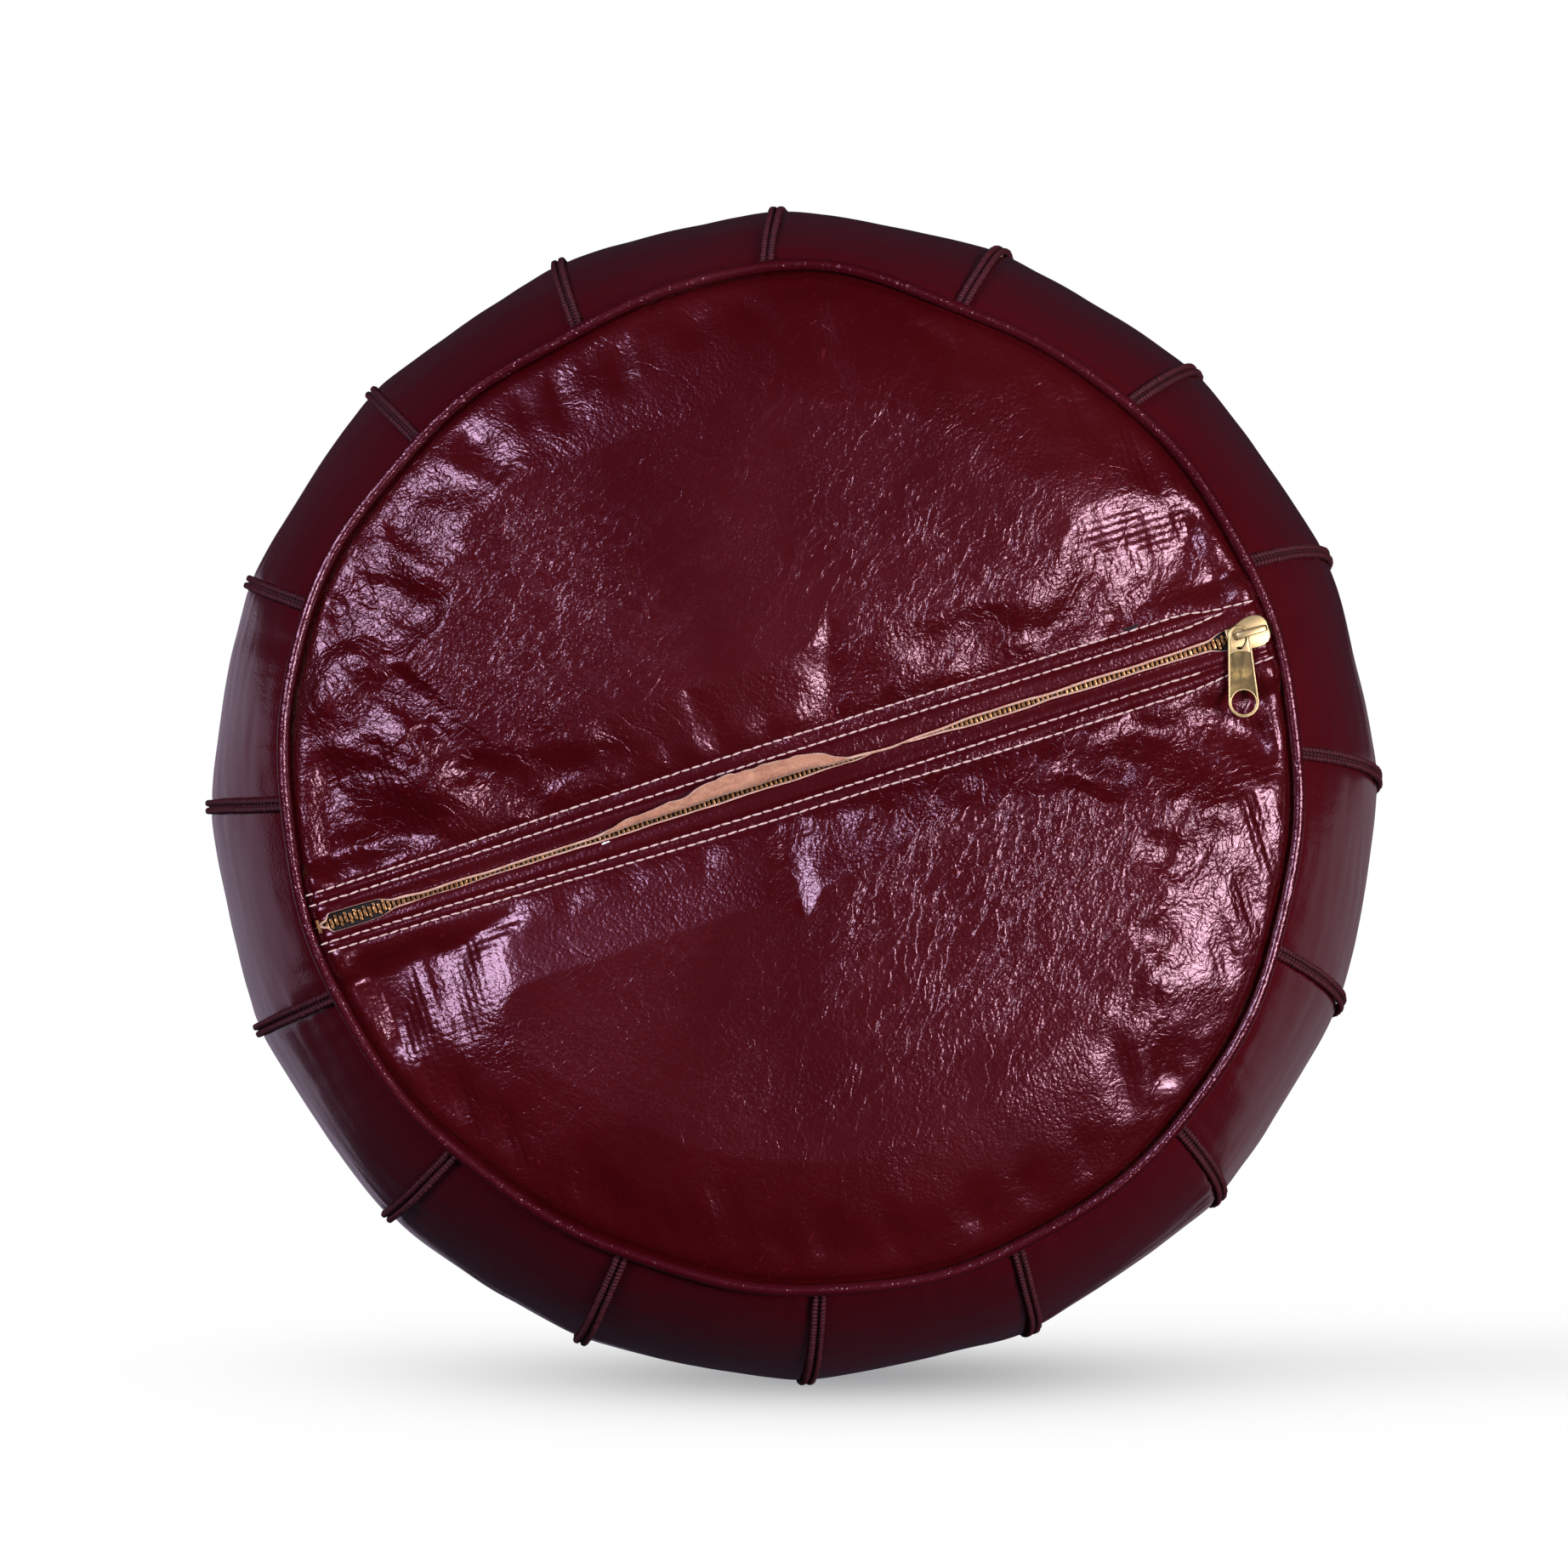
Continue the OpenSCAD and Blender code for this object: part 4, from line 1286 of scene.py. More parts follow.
@dataclass
class Braids:
    """Knitted silk braid over the side seams, the top seams and round the top edge."""

    shape: Shape
    width: float = 6.6 * MM
    pitch: float = 2.9 * MM

    def knit(self) -> bpy.types.Object:
        """One row of the knit: two slanted loops side by side on a thin strip."""
        w = self.width
        parts = []
        for i, slant in enumerate((0.75, -0.75)):
            y = (i - 0.5) * w * 0.48
            parts.append(grain_parts((0.0, y, 1.0 * MM), (2.9 * MM, 2.7 * MM, 2.5 * MM), slant))
        parts.append(grain_parts((0.0, 0.0, 0.15 * MM), (3.6 * MM, w * 0.96, 1.1 * MM), 0.0, 6, 1))
        return unit_object("knit_row", parts)

    def lines(self) -> Dict[str, Tuple[List[Tuple[np.ndarray, np.ndarray]], bool, List[str]]]:
        """The lines that the braids follow, by piece."""
        shape = self.shape
        found: Dict[str, Tuple[List[Tuple[np.ndarray, np.ndarray]], bool, List[str]]] = {}
        t = np.linspace(0.012, 0.992, 60)
        r = np.linspace(25.0 * MM, shape.seam_r - 1.0 * MM, 50)
        for quarter in range(4):
            side, top = [], []
            for k in range(quarter * 4, quarter * 4 + 4):
                wobble = 0.0022 * noise(t * 5 + 11 * k, t * 0, 101)
                angle = shape.seam_angle(k, t) + wobble
                flat = shape.side_point(t, angle, np.full_like(t, 0.1 * MM))
                out = shape.side_point(t, angle, np.full_like(t, 1.1 * MM)) - flat
                side.append((flat, out / np.linalg.norm(out, axis=1, keepdims=True)))
                turn = shape.seam_angle(k, np.array(1.0)) + 0 * r
                flat = shape.top_point(r, turn, np.full_like(r, 0.1 * MM))
                out = shape.top_point(r, turn, np.full_like(r, 1.1 * MM)) - flat
                top.append((flat, out / np.linalg.norm(out, axis=1, keepdims=True)))
            found[f"side_braid_{quarter + 1}"] = (side, False, ["side_seam_braids"])
            found[f"top_braid_{quarter + 1}"] = (top, False, ["top_seam_braids"])
        angle = np.linspace(0, 2 * np.pi, 320, endpoint=False)
        out = np.stack([np.cos(angle) * 0.75, np.sin(angle) * 0.75, np.full_like(angle, 0.66)], -1)
        ring = np.stack([np.cos(angle) * shape.edge_r, np.sin(angle) * shape.edge_r,
                         0 * angle + shape.edge_z], -1)
        found["edge_braid"] = ([(ring + out * 1.2 * MM, out)], True, ["top_edge_braid"])
        return found

    def build(self) -> None:
        """Makes the braids."""
        knit = self.knit()
        tree = repeat_group("set_along_line")
        for seed, (name, (lines, closed, nodes)) in enumerate(self.lines().items()):
            line = line_mesh(name + "_line", lines, closed)
            piece = bake(line, tree, name, Unit=knit, Pitch=self.pitch, Jitter=0.06, Size_Jitter=0.05,
                         Seed=seed + 3,
                         Material=cloth_material(SILK))
            finish_piece(piece, "root", nodes)
        bpy.data.objects.remove(knit)


@dataclass
class Stitching:
    """Four rows of cream stitches beside the zip."""

    shape: Shape
    pitch: float = 4.3 * MM

    def build(self) -> None:
        """Makes one piece for each half of the base."""
        parts = [grain_parts((0.0, 0.0, 0.0), (4.05 * MM, 0.82 * MM, 0.75 * MM), 0.0, 8, 6)]
        unit = unit_object("stitch", parts)
        for half in Half:
            sheet = BaseHalf(self.shape, half)
            lines = []
            for row in ROWS[half]:
                x = np.linspace(row[0][0], row[-1][0], 400) * MM
                y = through(x, row)
                z = self.shape.base_z(x, y * half.value) + sheet.grooves(x, y) + sheet.flap_sag(x, y)
                z = np.convolve(np.pad(z, 3, "edge"), np.ones(7) / 7, "valid")
                points = np.stack([x, y * half.value, z - 0.22 * MM], -1)
                out = np.tile([0.0, 0.0, -1.0], (len(x), 1))
                lines.append((points, out))
            line = line_mesh("stitch_line", lines)
            piece = bake(line, repeat_group("set_along_line"), "zip_stitches_" + half.name.lower(), Unit=unit,
                         Pitch=self.pitch, Jitter=0.09, Size_Jitter=0.05, Seed=5 + half.value,
                         Material=cloth_material(THREAD))
            finish_piece(piece, "root", ["zip_stitching"])
        bpy.data.objects.remove(unit)


@dataclass
class Welt:
    """The thin leather piping round the base."""

    shape: Shape

    def build(self) -> None:
        """Makes the piping along the hand-sewn edge."""
        angle = np.linspace(0, 2 * np.pi, 900, endpoint=False)
        reach = self.shape.piping_r + self.shape.rim(angle)
        z = self.shape.piping_z + 0.35 * MM * noise(angle * 12, angle * 0, 111, 2)
        points = np.stack([reach * np.cos(angle), reach * np.sin(angle), z], -1)
        line = line_mesh("welt_line", [(points, np.tile([0.0, 0.0, -1.0], (900, 1)))], True)
        piece = bake(line, piping_group(), "base_piping", Radius=self.shape.piping_size, Sides=14,
                     Pitch=1.2 * MM,
                     Pucker=0.14, Seed=3.0, Material=hide_material(PIPING_HIDE, 0.35))
        finish_piece(piece, "root", ["bottom_piping"])
        # the turned leather under the top edge braid, which closes the seam
        ring = np.stack([np.cos(angle) * self.shape.edge_r, np.sin(angle) * self.shape.edge_r,
                         0 * z + self.shape.edge_z], -1)
        line = line_mesh("edge_line", [(ring, np.tile([0.0, 0.0, 1.0], (900, 1)))], True)
        piece = bake(line, piping_group(), "top_edge_welt", Radius=2.9 * MM, Sides=12, Pitch=3.0 * MM,
                     Pucker=0.05, Seed=5.0, Material=hide_material(TOP_HIDE, 0.3))
        finish_piece(piece, "root", ["top_edge_braid"])


# ---------------------------------------------------------------- the zip


def outline_piece(name: str, outlines: Sequence[Sequence[Tuple[float, float]]], z0: float, z1: float,
                  bevel: float, material: bpy.types.Material) -> bpy.types.Object:
    """A flat plate with rounded edges, from an outline and the holes in it.

    Args:
        name: the piece's name.
        outlines: the outer outline, then any holes, in metres.
        z0: its lower face.
        z1: its upper face.
        bevel: the radius of its edges.
        material: its material.
    Returns:
        The piece.
    """
    data = bpy.data.curves.new(name, "CURVE")
    data.dimensions, data.fill_mode = "2D", "BOTH"
    data.extrude = max((z1 - z0) / 2 - bevel, 0.00001)
    data.bevel_depth, data.bevel_resolution, data.offset = bevel, 2, -bevel
    for outline in outlines:
        spline = data.splines.new("POLY")
        spline.points.add(len(outline) - 1)
        for point, (x, y) in zip(spline.points, outline):
            point.co = (x, y, 0.0, 1.0)
        spline.use_cyclic_u = True
    curve = bpy.data.objects.new(name + "_curve", data)
    bpy.context.scene.collection.objects.link(curve)
    graph = bpy.context.evaluated_depsgraph_get()
    mesh = bpy.data.meshes.new_from_object(curve.evaluated_get(graph), depsgraph=graph)
    bpy.data.objects.remove(curve)
    mesh.transform(Matrix.Translation((0, 0, (z0 + z1) / 2)))
    bm = bmesh.new()
    bm.from_mesh(mesh)
    bmesh.ops.remove_doubles(bm, verts=bm.verts, dist=1e-6)
    bmesh.ops.recalc_face_normals(bm, faces=bm.faces)
    bm.to_mesh(mesh)
    bm.free()
    mesh.materials.clear()
    mesh.materials.append(material)
    mesh.polygons.foreach_set("use_smooth", np.ones(len(mesh.polygons), bool))
    mesh.set_sharp_from_angle(angle=math.radians(38))
    piece = bpy.data.objects.new(name, mesh)
    bpy.context.scene.collection.objects.link(piece)
    return piece


def arc(cx: float, cy: float, r: float, start: float, end: float,
        count: int = 24) -> List[Tuple[float, float]]:
    """Points on an arc, angles in degrees."""
    return [(cx + r * math.cos(math.radians(start + (end - start) * i / count)),
             cy + r * math.sin(math.radians(start + (end - start) * i / count))) for i in range(count + 1)]


def join(name: str, pieces: Sequence[bpy.types.Object]) -> bpy.types.Object:
    """Joins pieces into one, with their materials."""
    bpy.ops.object.select_all(action="DESELECT")
    for piece in pieces:
        piece.select_set(True)
    bpy.context.view_layer.objects.active = pieces[0]
    bpy.ops.object.join()
    pieces[0].name = pieces[0].data.name = name
    return pieces[0]


def box_parts(low: Sequence[float], high: Sequence[float]) -> Tuple[List[Tuple[float, float, float]],
                                                                    List[Tuple[int, ...]]]:
    """Points and faces of a box."""
    verts = [(x, y, z) for x in (low[0], high[0]) for y in (low[1], high[1]) for z in (low[2], high[2])]
    return verts, [(0, 1, 3, 2), (4, 6, 7, 5), (0, 4, 5, 1), (2, 3, 7, 6), (0, 2, 6, 4), (1, 5, 7, 3)]


@dataclass
class Zip:
    """Tapes, teeth, stops, slider, bail and pull."""

    shape: Shape
    teeth_z: float = 9.5 * MM
    pitch: float = 4.0 * MM

    def tapes(self) -> None:
        """Two woven tapes with a corded edge inside the teeth."""
        for half in Half:
            name = "zip_tape_" + half.name.lower()
            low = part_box(name)[0]
            x = np.linspace(-197.0 * MM, 197.0 * MM, 240)[:, None]
            y = np.linspace(1.5 * MM, 17.3 * MM, 26)[None, :]
            reach = np.sqrt(np.maximum(0.197**2 - x**2, 0)) + 0 * y
            y = np.minimum(y + 0 * x, np.maximum(reach, 2.4 * MM + (y - 1.5 * MM) * 0.05))
            end = self.shape.base_z(x + 0 * y, y * half.value, False) + LEATHER + 0.35 * MM
            z = np.maximum(low.z + 0 * y, np.where(y > 4.2 * MM, end,
                                                   low.z)) - 0.15 * MM * bell(y - 1.9 * MM, 0.6 * MM)
            points = np.stack([x + 0 * y, y * half.value, z], -1)
            piece = shell("tape_" + half.name.lower(), points, np.full(points.shape[:2], 0.8 * MM),
                          [cloth_material(TAPE)], 1.0 if half is Half.FRONT else -1.0)
            finish_piece(piece, "root", [name])

    def teeth(self) -> None:
        """Brass teeth: a clamp round the tape with a head that meshes with its neighbours."""
        for half in Half:
            s = half.value
            parts = [
                box_parts((-0.62 * MM, s * 1.2 * MM, -1.5 * MM), (0.62 * MM, s * 2.7 * MM, -0.5 * MM)),
                box_parts((-0.62 * MM, s * 1.2 * MM, 0.5 * MM), (0.62 * MM, s * 2.7 * MM, 1.5 * MM)),
                box_parts((-0.70 * MM, s * -1.75 * MM, -1.3 * MM), (0.70 * MM, s * 1.25 * MM, 1.3 * MM)),
            ]
            unit = unit_object("tooth", parts)
            bevel = unit.modifiers.new("edges", "BEVEL")
            bevel.width, bevel.segments, bevel.limit_method = 0.16 * MM, 2, "ANGLE"
            graph = bpy.context.evaluated_depsgraph_get()
            baked = bpy.data.meshes.new_from_object(unit.evaluated_get(graph), depsgraph=graph)
            unit.modifiers.clear()
            unit.data = baked
            name = "zip_teeth_" + half.name.lower()
            low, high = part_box(name)
            points = np.array([[low.x + 0.85 * MM, 0, self.teeth_z], [high.x - 0.85 * MM, 0, self.teeth_z]])
            line = line_mesh("teeth_line", [(points, np.array([[0, 0, 1.0], [0, 0, 1.0]]))])
            piece = bake(line, repeat_group("set_along_line"), "teeth_" + half.name.lower(), Unit=unit,
                         Pitch=self.pitch, Jitter=0.03, Size_Jitter=0.0, Seed=9,
                         Material=brass_material(TEETH_BRASS))
            piece.data.set_sharp_from_angle(angle=math.radians(45))
            finish_piece(piece, "root", [name])
            bpy.data.objects.remove(unit)

    def stops(self) -> None:
        """The CAD stops, painted."""
        for name in ("zip_top_stops", "zip_bottom_stop"):
            paint_node(name, brass_material(TEETH_BRASS))

    @staticmethod
    def body_outline(center: float, grow: float) -> List[Tuple[float, float]]:
        """Outline of the slider's plate: a flat rear, a waist and wide round shoulders."""
        half = [(-8.7, 4.1), (-8.2, 4.35), (-6.6, 4.2), (-5.2, 4.3), (-3.6, 4.9), (-1.8, 5.8), (0.2, 6.5),
                (2.6, 6.75),
                (5.0, 6.5), (6.9, 5.6), (8.1, 4.2), (8.7, 2.4)]
        side = [(center + x * MM, (y + grow) * MM) for x, y in half]
        return side + [(x, -y) for x, y in reversed(side)]

    def slider(self) -> None:
        """The slider's two plates, its walls, and the bail over it."""
        low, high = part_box("slider_body")
        center = (low.x + high.x) / 2
        brass = brass_material(SLIDER_BRASS)
        plate = outline_piece("plate", [self.body_outline(center, 0.0)], low.z, low.z + 1.6 * MM, 0.45 * MM,
                              brass)
        lips = []
        for s in (-1, 1):
            lips.append(add_mesh("lip", *self.as_mesh(box_parts(
                (low.x + 0.5 * MM, s * 3.1 * MM, low.z + 1.4 * MM),
                (high.x - 0.5 * MM, s * 3.6 * MM, low.z + 3.1 * MM))), [brass]))
            lips.append(add_mesh("lip", *self.as_mesh(box_parts(
                (low.x + 0.5 * MM, s * 3.1 * MM, low.z + 4.7 * MM),
                (high.x - 0.5 * MM, s * 3.6 * MM, low.z + 5.8 * MM))), [brass]))
        inner = outline_piece("inner", [self.body_outline(center, -0.8)], high.z - 1.4 * MM, high.z,
                              0.3 * MM, brass)
        body = join("slider_cast", [plate, inner] + lips)
        finish_piece(body, "slider", ["slider_body"])
        finish_piece(self.bail(), "slider", ["slider_bail"])

    @staticmethod
    def as_mesh(parts: Tuple[List[Tuple[float, float, float]], List[Tuple[int, ...]]]) -> Tuple[np.ndarray,
            List[Tuple[int, ...]]]:
        """Parts as arrays for add_mesh."""
        return np.array(parts[0]), parts[1]

    def bail(self) -> bpy.types.Object:
        """The arched strap: narrow at its rear post, with crowned, rounded edges."""
        low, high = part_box("slider_bail")
        steps, around = 40, 20
        length, rise = high.x - low.x, high.z - low.z
        thick = 1.2 * MM
        t = np.linspace(0, 1, steps)
        path = []
        for u in t:
            if u < 0.16:
                a = u / 0.16
                path.append((low.x + thick / 2, high.z - (rise - thick * 1.2) * a))
            elif u > 0.86:
                a = (1 - u) / 0.14
                path.append((high.x - thick / 2, high.z - (rise - thick * 1.2) * a))
            else:
                a = (u - 0.16) / 0.70
                bow = math.sin(math.pi * a) ** 0.55
                path.append((low.x + thick / 2 + (length - thick) * (a - 0.02 * math.sin(2 * math.pi * a)),
                             low.z + thick * 1.2 - bow * thick * 0.68))
        path = np.array(path)
        tangent = np.gradient(path, axis=0)
        tangent /= np.linalg.norm(tangent, axis=1, keepdims=True)
        normal = np.stack([tangent[:, 1], -tangent[:, 0]], 1)
        a = np.linspace(0, 2 * np.pi, around, endpoint=False)
        ca, sa = np.cos(a), np.sin(a)
        py, pn = np.sign(ca) * np.abs(ca) ** 0.45, np.sign(sa) * np.abs(sa) ** 0.6
        wide = 1.5 * MM * (0.92 + 0.08 * np.cos(np.pi * t))
        grid = np.zeros((steps, around, 3))
        grid[..., 0] = path[:, :1] + normal[:, :1] * pn * thick / 2
        grid[..., 1] = wide[:, None] * py
        grid[..., 2] = path[:, 1:] + normal[:, 1:] * pn * thick / 2
        verts = grid.reshape(-1, 3)
        faces = []
        for i in range(steps - 1):
            for j in range(around):
                k = (j + 1) % around
                faces.append((i * around + j, i * around + k, (i + 1) * around + k, (i + 1) * around + j))
        faces.append(tuple(range(around)))
        faces.append(tuple((steps - 1) * around + j for j in range(around)))
        return add_mesh("slider_arch", verts, faces, [brass_material(SLIDER_BRASS)])

    def pull(self) -> None:
        """The pull: a bright raised rim round a darker face, an eye and a round foot hole."""
        low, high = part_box("zip_pull")
        seat_low, seat_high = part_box("slider_body")
        eye = ((seat_low.x + seat_high.x) / 2 - 4.0 * MM, 0.0)
        lean = math.radians(13.7)
        foot_y, foot_r, eye_r = 26.8 * MM, 6.2 * MM, 4.5 * MM

        def place(points: Sequence[Tuple[float, float]]) -> List[Tuple[float, float]]:
            """Leans an outline and moves it to the eye."""
            c, s = math.cos(lean), math.sin(lean)
            return [(eye[0] + x * c - y * s, eye[1] + x * s + y * c) for x, y in points]

        def tab(inset: float) -> List[Tuple[float, float]]:
            """The pull's outline, drawn in by an inset."""
            foot = arc(0, foot_y, foot_r - inset, -2, 182, 36)
            head = arc(0, 0, eye_r - inset, 178, 362, 30)
            return foot + head

        eye_hole = [(x * MM, y * MM) for x, y in (
            (-3.15, -0.6), (-2.8, -1.9), (-1.7, -2.9), (0.0, -3.2), (1.7, -2.9), (2.8, -1.9), (3.15, -0.6),
            (3.2, 1.0),
            (2.75, 2.6), (1.9, 4.1), (0.9, 5.1), (0.0, 5.4), (-0.9, 5.1), (-1.9, 4.1), (-2.75, 2.6),
            (-3.2, 1.0))]
        foot_hole = arc(0, foot_y, 4.9 * MM, 0, 352.5, 47)
        recess = arc(0, 2.6 * MM, 5.1 * MM, 40, 140, 18)
        lower = arc(0, foot_y, 5.9 * MM, 205, 335, 24)
        window = [(max(-4.15 * MM, min(4.15 * MM, x)), y) for x, y in recess]
        window = [(x, y) for x, y in window] + lower
        rim = outline_piece("rim", [place(tab(0.0)), place(tab(0.85 * MM))], low.z - 0.12 * MM, high.z,
                            0.30 * MM,
                            brass_material(SLIDER_BRASS))
        face = outline_piece("face", [place(tab(0.7 * MM)), place(eye_hole), place(foot_hole)],
                             low.z + 0.55 * MM, high.z - 0.1 * MM, 0.08 * MM, brass_material(FACE_BRASS))
        web = outline_piece("web", [place(self.web(tab(0.72 * MM), 7.6 * MM)), place(eye_hole)],
                            low.z + 0.22 * MM,
                            high.z - 0.3 * MM, 0.15 * MM, brass_material(SLIDER_BRASS))
        ring = outline_piece("ring", [place(arc(0, foot_y, 5.55 * MM, 0, 352.5, 47)), place(foot_hole)],
                             low.z + 0.20 * MM, high.z - 0.3 * MM, 0.15 * MM, brass_material(SLIDER_BRASS))
        piece = join("pull_tab", [rim, face, web, ring])
        finish_piece(piece, "pull", ["zip_pull"])

    @staticmethod
    def web(outline: List[Tuple[float, float]], top: float) -> List[Tuple[float, float]]:
        """The part of the pull's outline round its eye, closed by a shallow arc."""
        kept = [(x, y) for x, y in outline if y < 1 * MM]
        side = 4.35 * MM
        cap = [(side * math.cos(math.radians(a)),
                top - 1.4 * MM * math.sin(math.radians(a))) for a in range(0, 181, 12)]
        return cap + kept

    def build(self) -> None:
        """Makes the whole zip."""
        self.tapes()
        self.teeth()
        self.stops()
        self.slider()
        self.pull()


def paint_node(name: str, material: bpy.types.Material) -> None:
    """Gives a shown CAD node a material."""
    node = bpy.data.objects[name]
    node.data.materials.clear()
    node.data.materials.append(material)


@dataclass
class Inside:
    """The cotton bag and the wadding in it."""

    shape: Shape

    def bag_points(self, inset: float, m: int, n: int) -> np.ndarray:
        """A closed lumpy form, inset from the leather."""
        angle = np.linspace(0, 2 * np.pi, m, endpoint=False)[:, None]
        low_r = self.shape.seam_r - inset - 5 * MM
        parts = []
        t = np.linspace(0.004, 1.0, n)[None, :]
        r = low_r * t
        x, y = r * np.cos(angle), r * np.sin(angle)
        under = self.shape.base_z(x, y, False) + inset + 8.5 * MM
        parts.append(np.stack([x, y, under], -1))
        side_t = np.linspace(0.06, 0.94, n)[None, :]
        parts.append(self.shape.side_point(side_t + 0 * angle, angle + 0 * side_t,
                                           -inset - 5.5 * MM + 1.2 * MM * noise(angle * 4, side_t * 6, 121,
                                                   2)))
        parts.append(self.shape.top_point(low_r * (1.004 - t) + 0 * angle, angle + 0 * t,
                                          -inset - 2.0 * MM + 0 * t + 0 * angle))
        return np.concatenate(parts, 1)

    def closed(self, name: str, inset: float, material: bpy.types.Material, m: int,
               n: int) -> bpy.types.Object:
        """A closed solid from the bag's points."""
        points = self.bag_points(inset, m, n)
        m, n, _ = points.shape
        faces = [tuple(f) for f in grid_faces(m, n, 0, True)]
        faces += [tuple(i * n for i in range(m)), tuple(i * n + n - 1 for i in range(m))]
        return add_mesh(name, points.reshape(-1, 3), faces, [material])

    def build(self) -> None:
        """Makes the bag and the wadding."""
        points = self.bag_points(2.0 * MM, 120, 26)
        bag = shell("cotton_bag", points, np.full(points.shape[:2], 0.8 * MM), [cloth_material(COTTON)],
                    -1.0, wrap=True)
        finish_piece(bag, "root", ["inner_bag"])
        core = self.closed("wadding_core", 4.5 * MM, cloth_material(WADDING), 96, 22)
        finish_piece(core, "root", ["stuffing"])
        verts, faces = grain_parts((-0.079, 2.3 * MM, 8.3 * MM), (8.0 * MM, 2.6 * MM, 2.2 * MM), 0.0, 14, 12)
        tuft = np.array(verts)
        tuft += 0.35 * MM * np.stack([noise(tuft[:, 0] / 0.0016, tuft[:, 1] / 0.0012, 131 + i,
                                            2) for i in range(3)], -1)
        wisp = add_mesh("wadding_wisp", tuft, faces, [cloth_material(WADDING)])
        finish_piece(wisp, "root")


# ---------------------------------------------------------------- stage, light and camera


def stage_material(name: str, build: Callable[[Wiring], bpy.types.NodeSocket]) -> bpy.types.Material:
    """A material whose surface a function makes."""
    material = bpy.data.materials.new(name)
    material.use_nodes = True
    material.node_tree.nodes.clear()
    w = Wiring(material.node_tree)
    out = w.node("ShaderNodeOutputMaterial")
    w.put(out.inputs["Surface"], build(w))
    return material


@dataclass
class Stage:
    """Floor, shadow card, lights, world and camera."""

    shape: Shape
    axis_z: float = 0.1415
    distance: float = 2.0
    below: float = 0.12
    aside: float = 0.010

    def build(self) -> None:
        """Makes everything that isn't the pouf."""
        self.floor()
        self.shadow_card()
        self.world()
        self.lights()
        self.camera()
        bpy.context.scene.view_settings.view_transform = "Standard"

    @staticmethod
    def quiet(obj: bpy.types.Object) -> None:
        """Only the camera sees this object."""
        obj.visible_diffuse = obj.visible_glossy = obj.visible_transmission = obj.visible_shadow = False
        obj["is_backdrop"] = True

    def floor(self) -> None:
        """A white floor that is only there from above."""
        s = 4.0
        floor = add_mesh("floor", np.array([(-s, -s, 0), (s, -s, 0), (s, s, 0), (-s, s, 0)], float) - (0, 0,
                0.0004), [(0, 1, 2, 3)], [], tidy=False)

        def surface(w: Wiring) -> bpy.types.NodeSocket:
            """Wires the stage surface and returns its shader."""
            white = w.node("ShaderNodeBsdfDiffuse", Color=(0.92, 0.92, 0.93, 1))
            clear = w.node("ShaderNodeBsdfTransparent")
            back = w.node("ShaderNodeNewGeometry").outputs["Backfacing"]
            mix = w.node("ShaderNodeMixShader")
            w.put(mix.inputs[0], back)
            w.put(mix.inputs[1], white.outputs[0])
            w.put(mix.inputs[2], clear.outputs[0])
            return mix.outputs[0]

        floor.data.materials.append(stage_material("floor_white", surface))
        self.quiet(floor)

    def shadow_card(self) -> None:
        """A card behind the pouf that carries the soft shadow of the maker's view; clear from elsewhere."""
        z = 0.45
        card = add_mesh("shadow_card", np.array([
            tuple(VIEW_RIGHT * a + VIEW_UP * b + np.array([0, 0, z])) for a, b in
            ((-0.75, -0.55), (0.75, -0.55), (0.75, 0.0), (-0.75, 0.0))]), [(0, 1, 2, 3)], [], tidy=False)
        if card.data.polygons[0].normal.z > 0:
            card.data.flip_normals()
        depth = (z + self.distance) / (self.distance + self.axis_z)

        def surface(w: Wiring) -> bpy.types.NodeSocket:
            """Wires the stage surface and returns its shader."""
            place = w.node("ShaderNodeTexCoord").outputs["Object"]

            def along(axis: np.ndarray) -> bpy.types.NodeSocket:
                """Distance of the shaded point along an axis of the maker's view."""
                made = w.node("ShaderNodeVectorMath", {"operation": "DOT_PRODUCT"})
                w.put(made.inputs[0], place)
                w.put(made.inputs[1], tuple(float(v) for v in axis))
                return made.outputs["Value"]

            a, b = along(VIEW_RIGHT), along(VIEW_UP)
            ground = -(self.below + (0.252 - self.below) * depth)
            strength = []
            for shift_a, shift_b, wide, tall, dark in (
                    (0.01, 0.005, 0.15, 0.014, 0.55), (0.02, -0.008, 0.20, 0.016, 0.10),
                    (0.22, 0.011, 0.28, 0.016, 0.15), (-0.18, 0.013, 0.09, 0.014, 0.06)):
                u = w.math("DIVIDE", w.math("SUBTRACT", a, shift_a), wide)
                v = w.math("DIVIDE", w.math("SUBTRACT", b, ground + shift_b), tall)
                far = w.math("ADD", w.math("MULTIPLY", u, u), w.math("MULTIPLY", v, v))
                strength.append(w.math("MULTIPLY", w.math("EXPONENT", w.math("MULTIPLY", far, -1.0)), dark))
            total = strength[0]
            for more in strength[1:]:
                total = w.math("ADD", total, more)
            facing = w.node("ShaderNodeLayerWeight", Blend=0.5).outputs["Facing"]
            near = w.math("SUBTRACT", 1.0, w.ramp(facing, 0.15, 0.35))
            back = w.node("ShaderNodeNewGeometry").outputs["Backfacing"]
            total = w.math("MULTIPLY", total, w.math("MULTIPLY", near, w.math("SUBTRACT", 1.0, back)),
                           clamp=True)
            dark = w.node("ShaderNodeEmission", Color=(0.045, 0.038, 0.052, 1), Strength=1.0)
            clear = w.node("ShaderNodeBsdfTransparent")
            mix = w.node("ShaderNodeMixShader")
            w.put(mix.inputs[0], total)
            w.put(mix.inputs[1], clear.outputs[0])
            w.put(mix.inputs[2], dark.outputs[0])
            return mix.outputs[0]

        card.data.materials.append(stage_material("soft_shadow", surface))
        self.quiet(card)

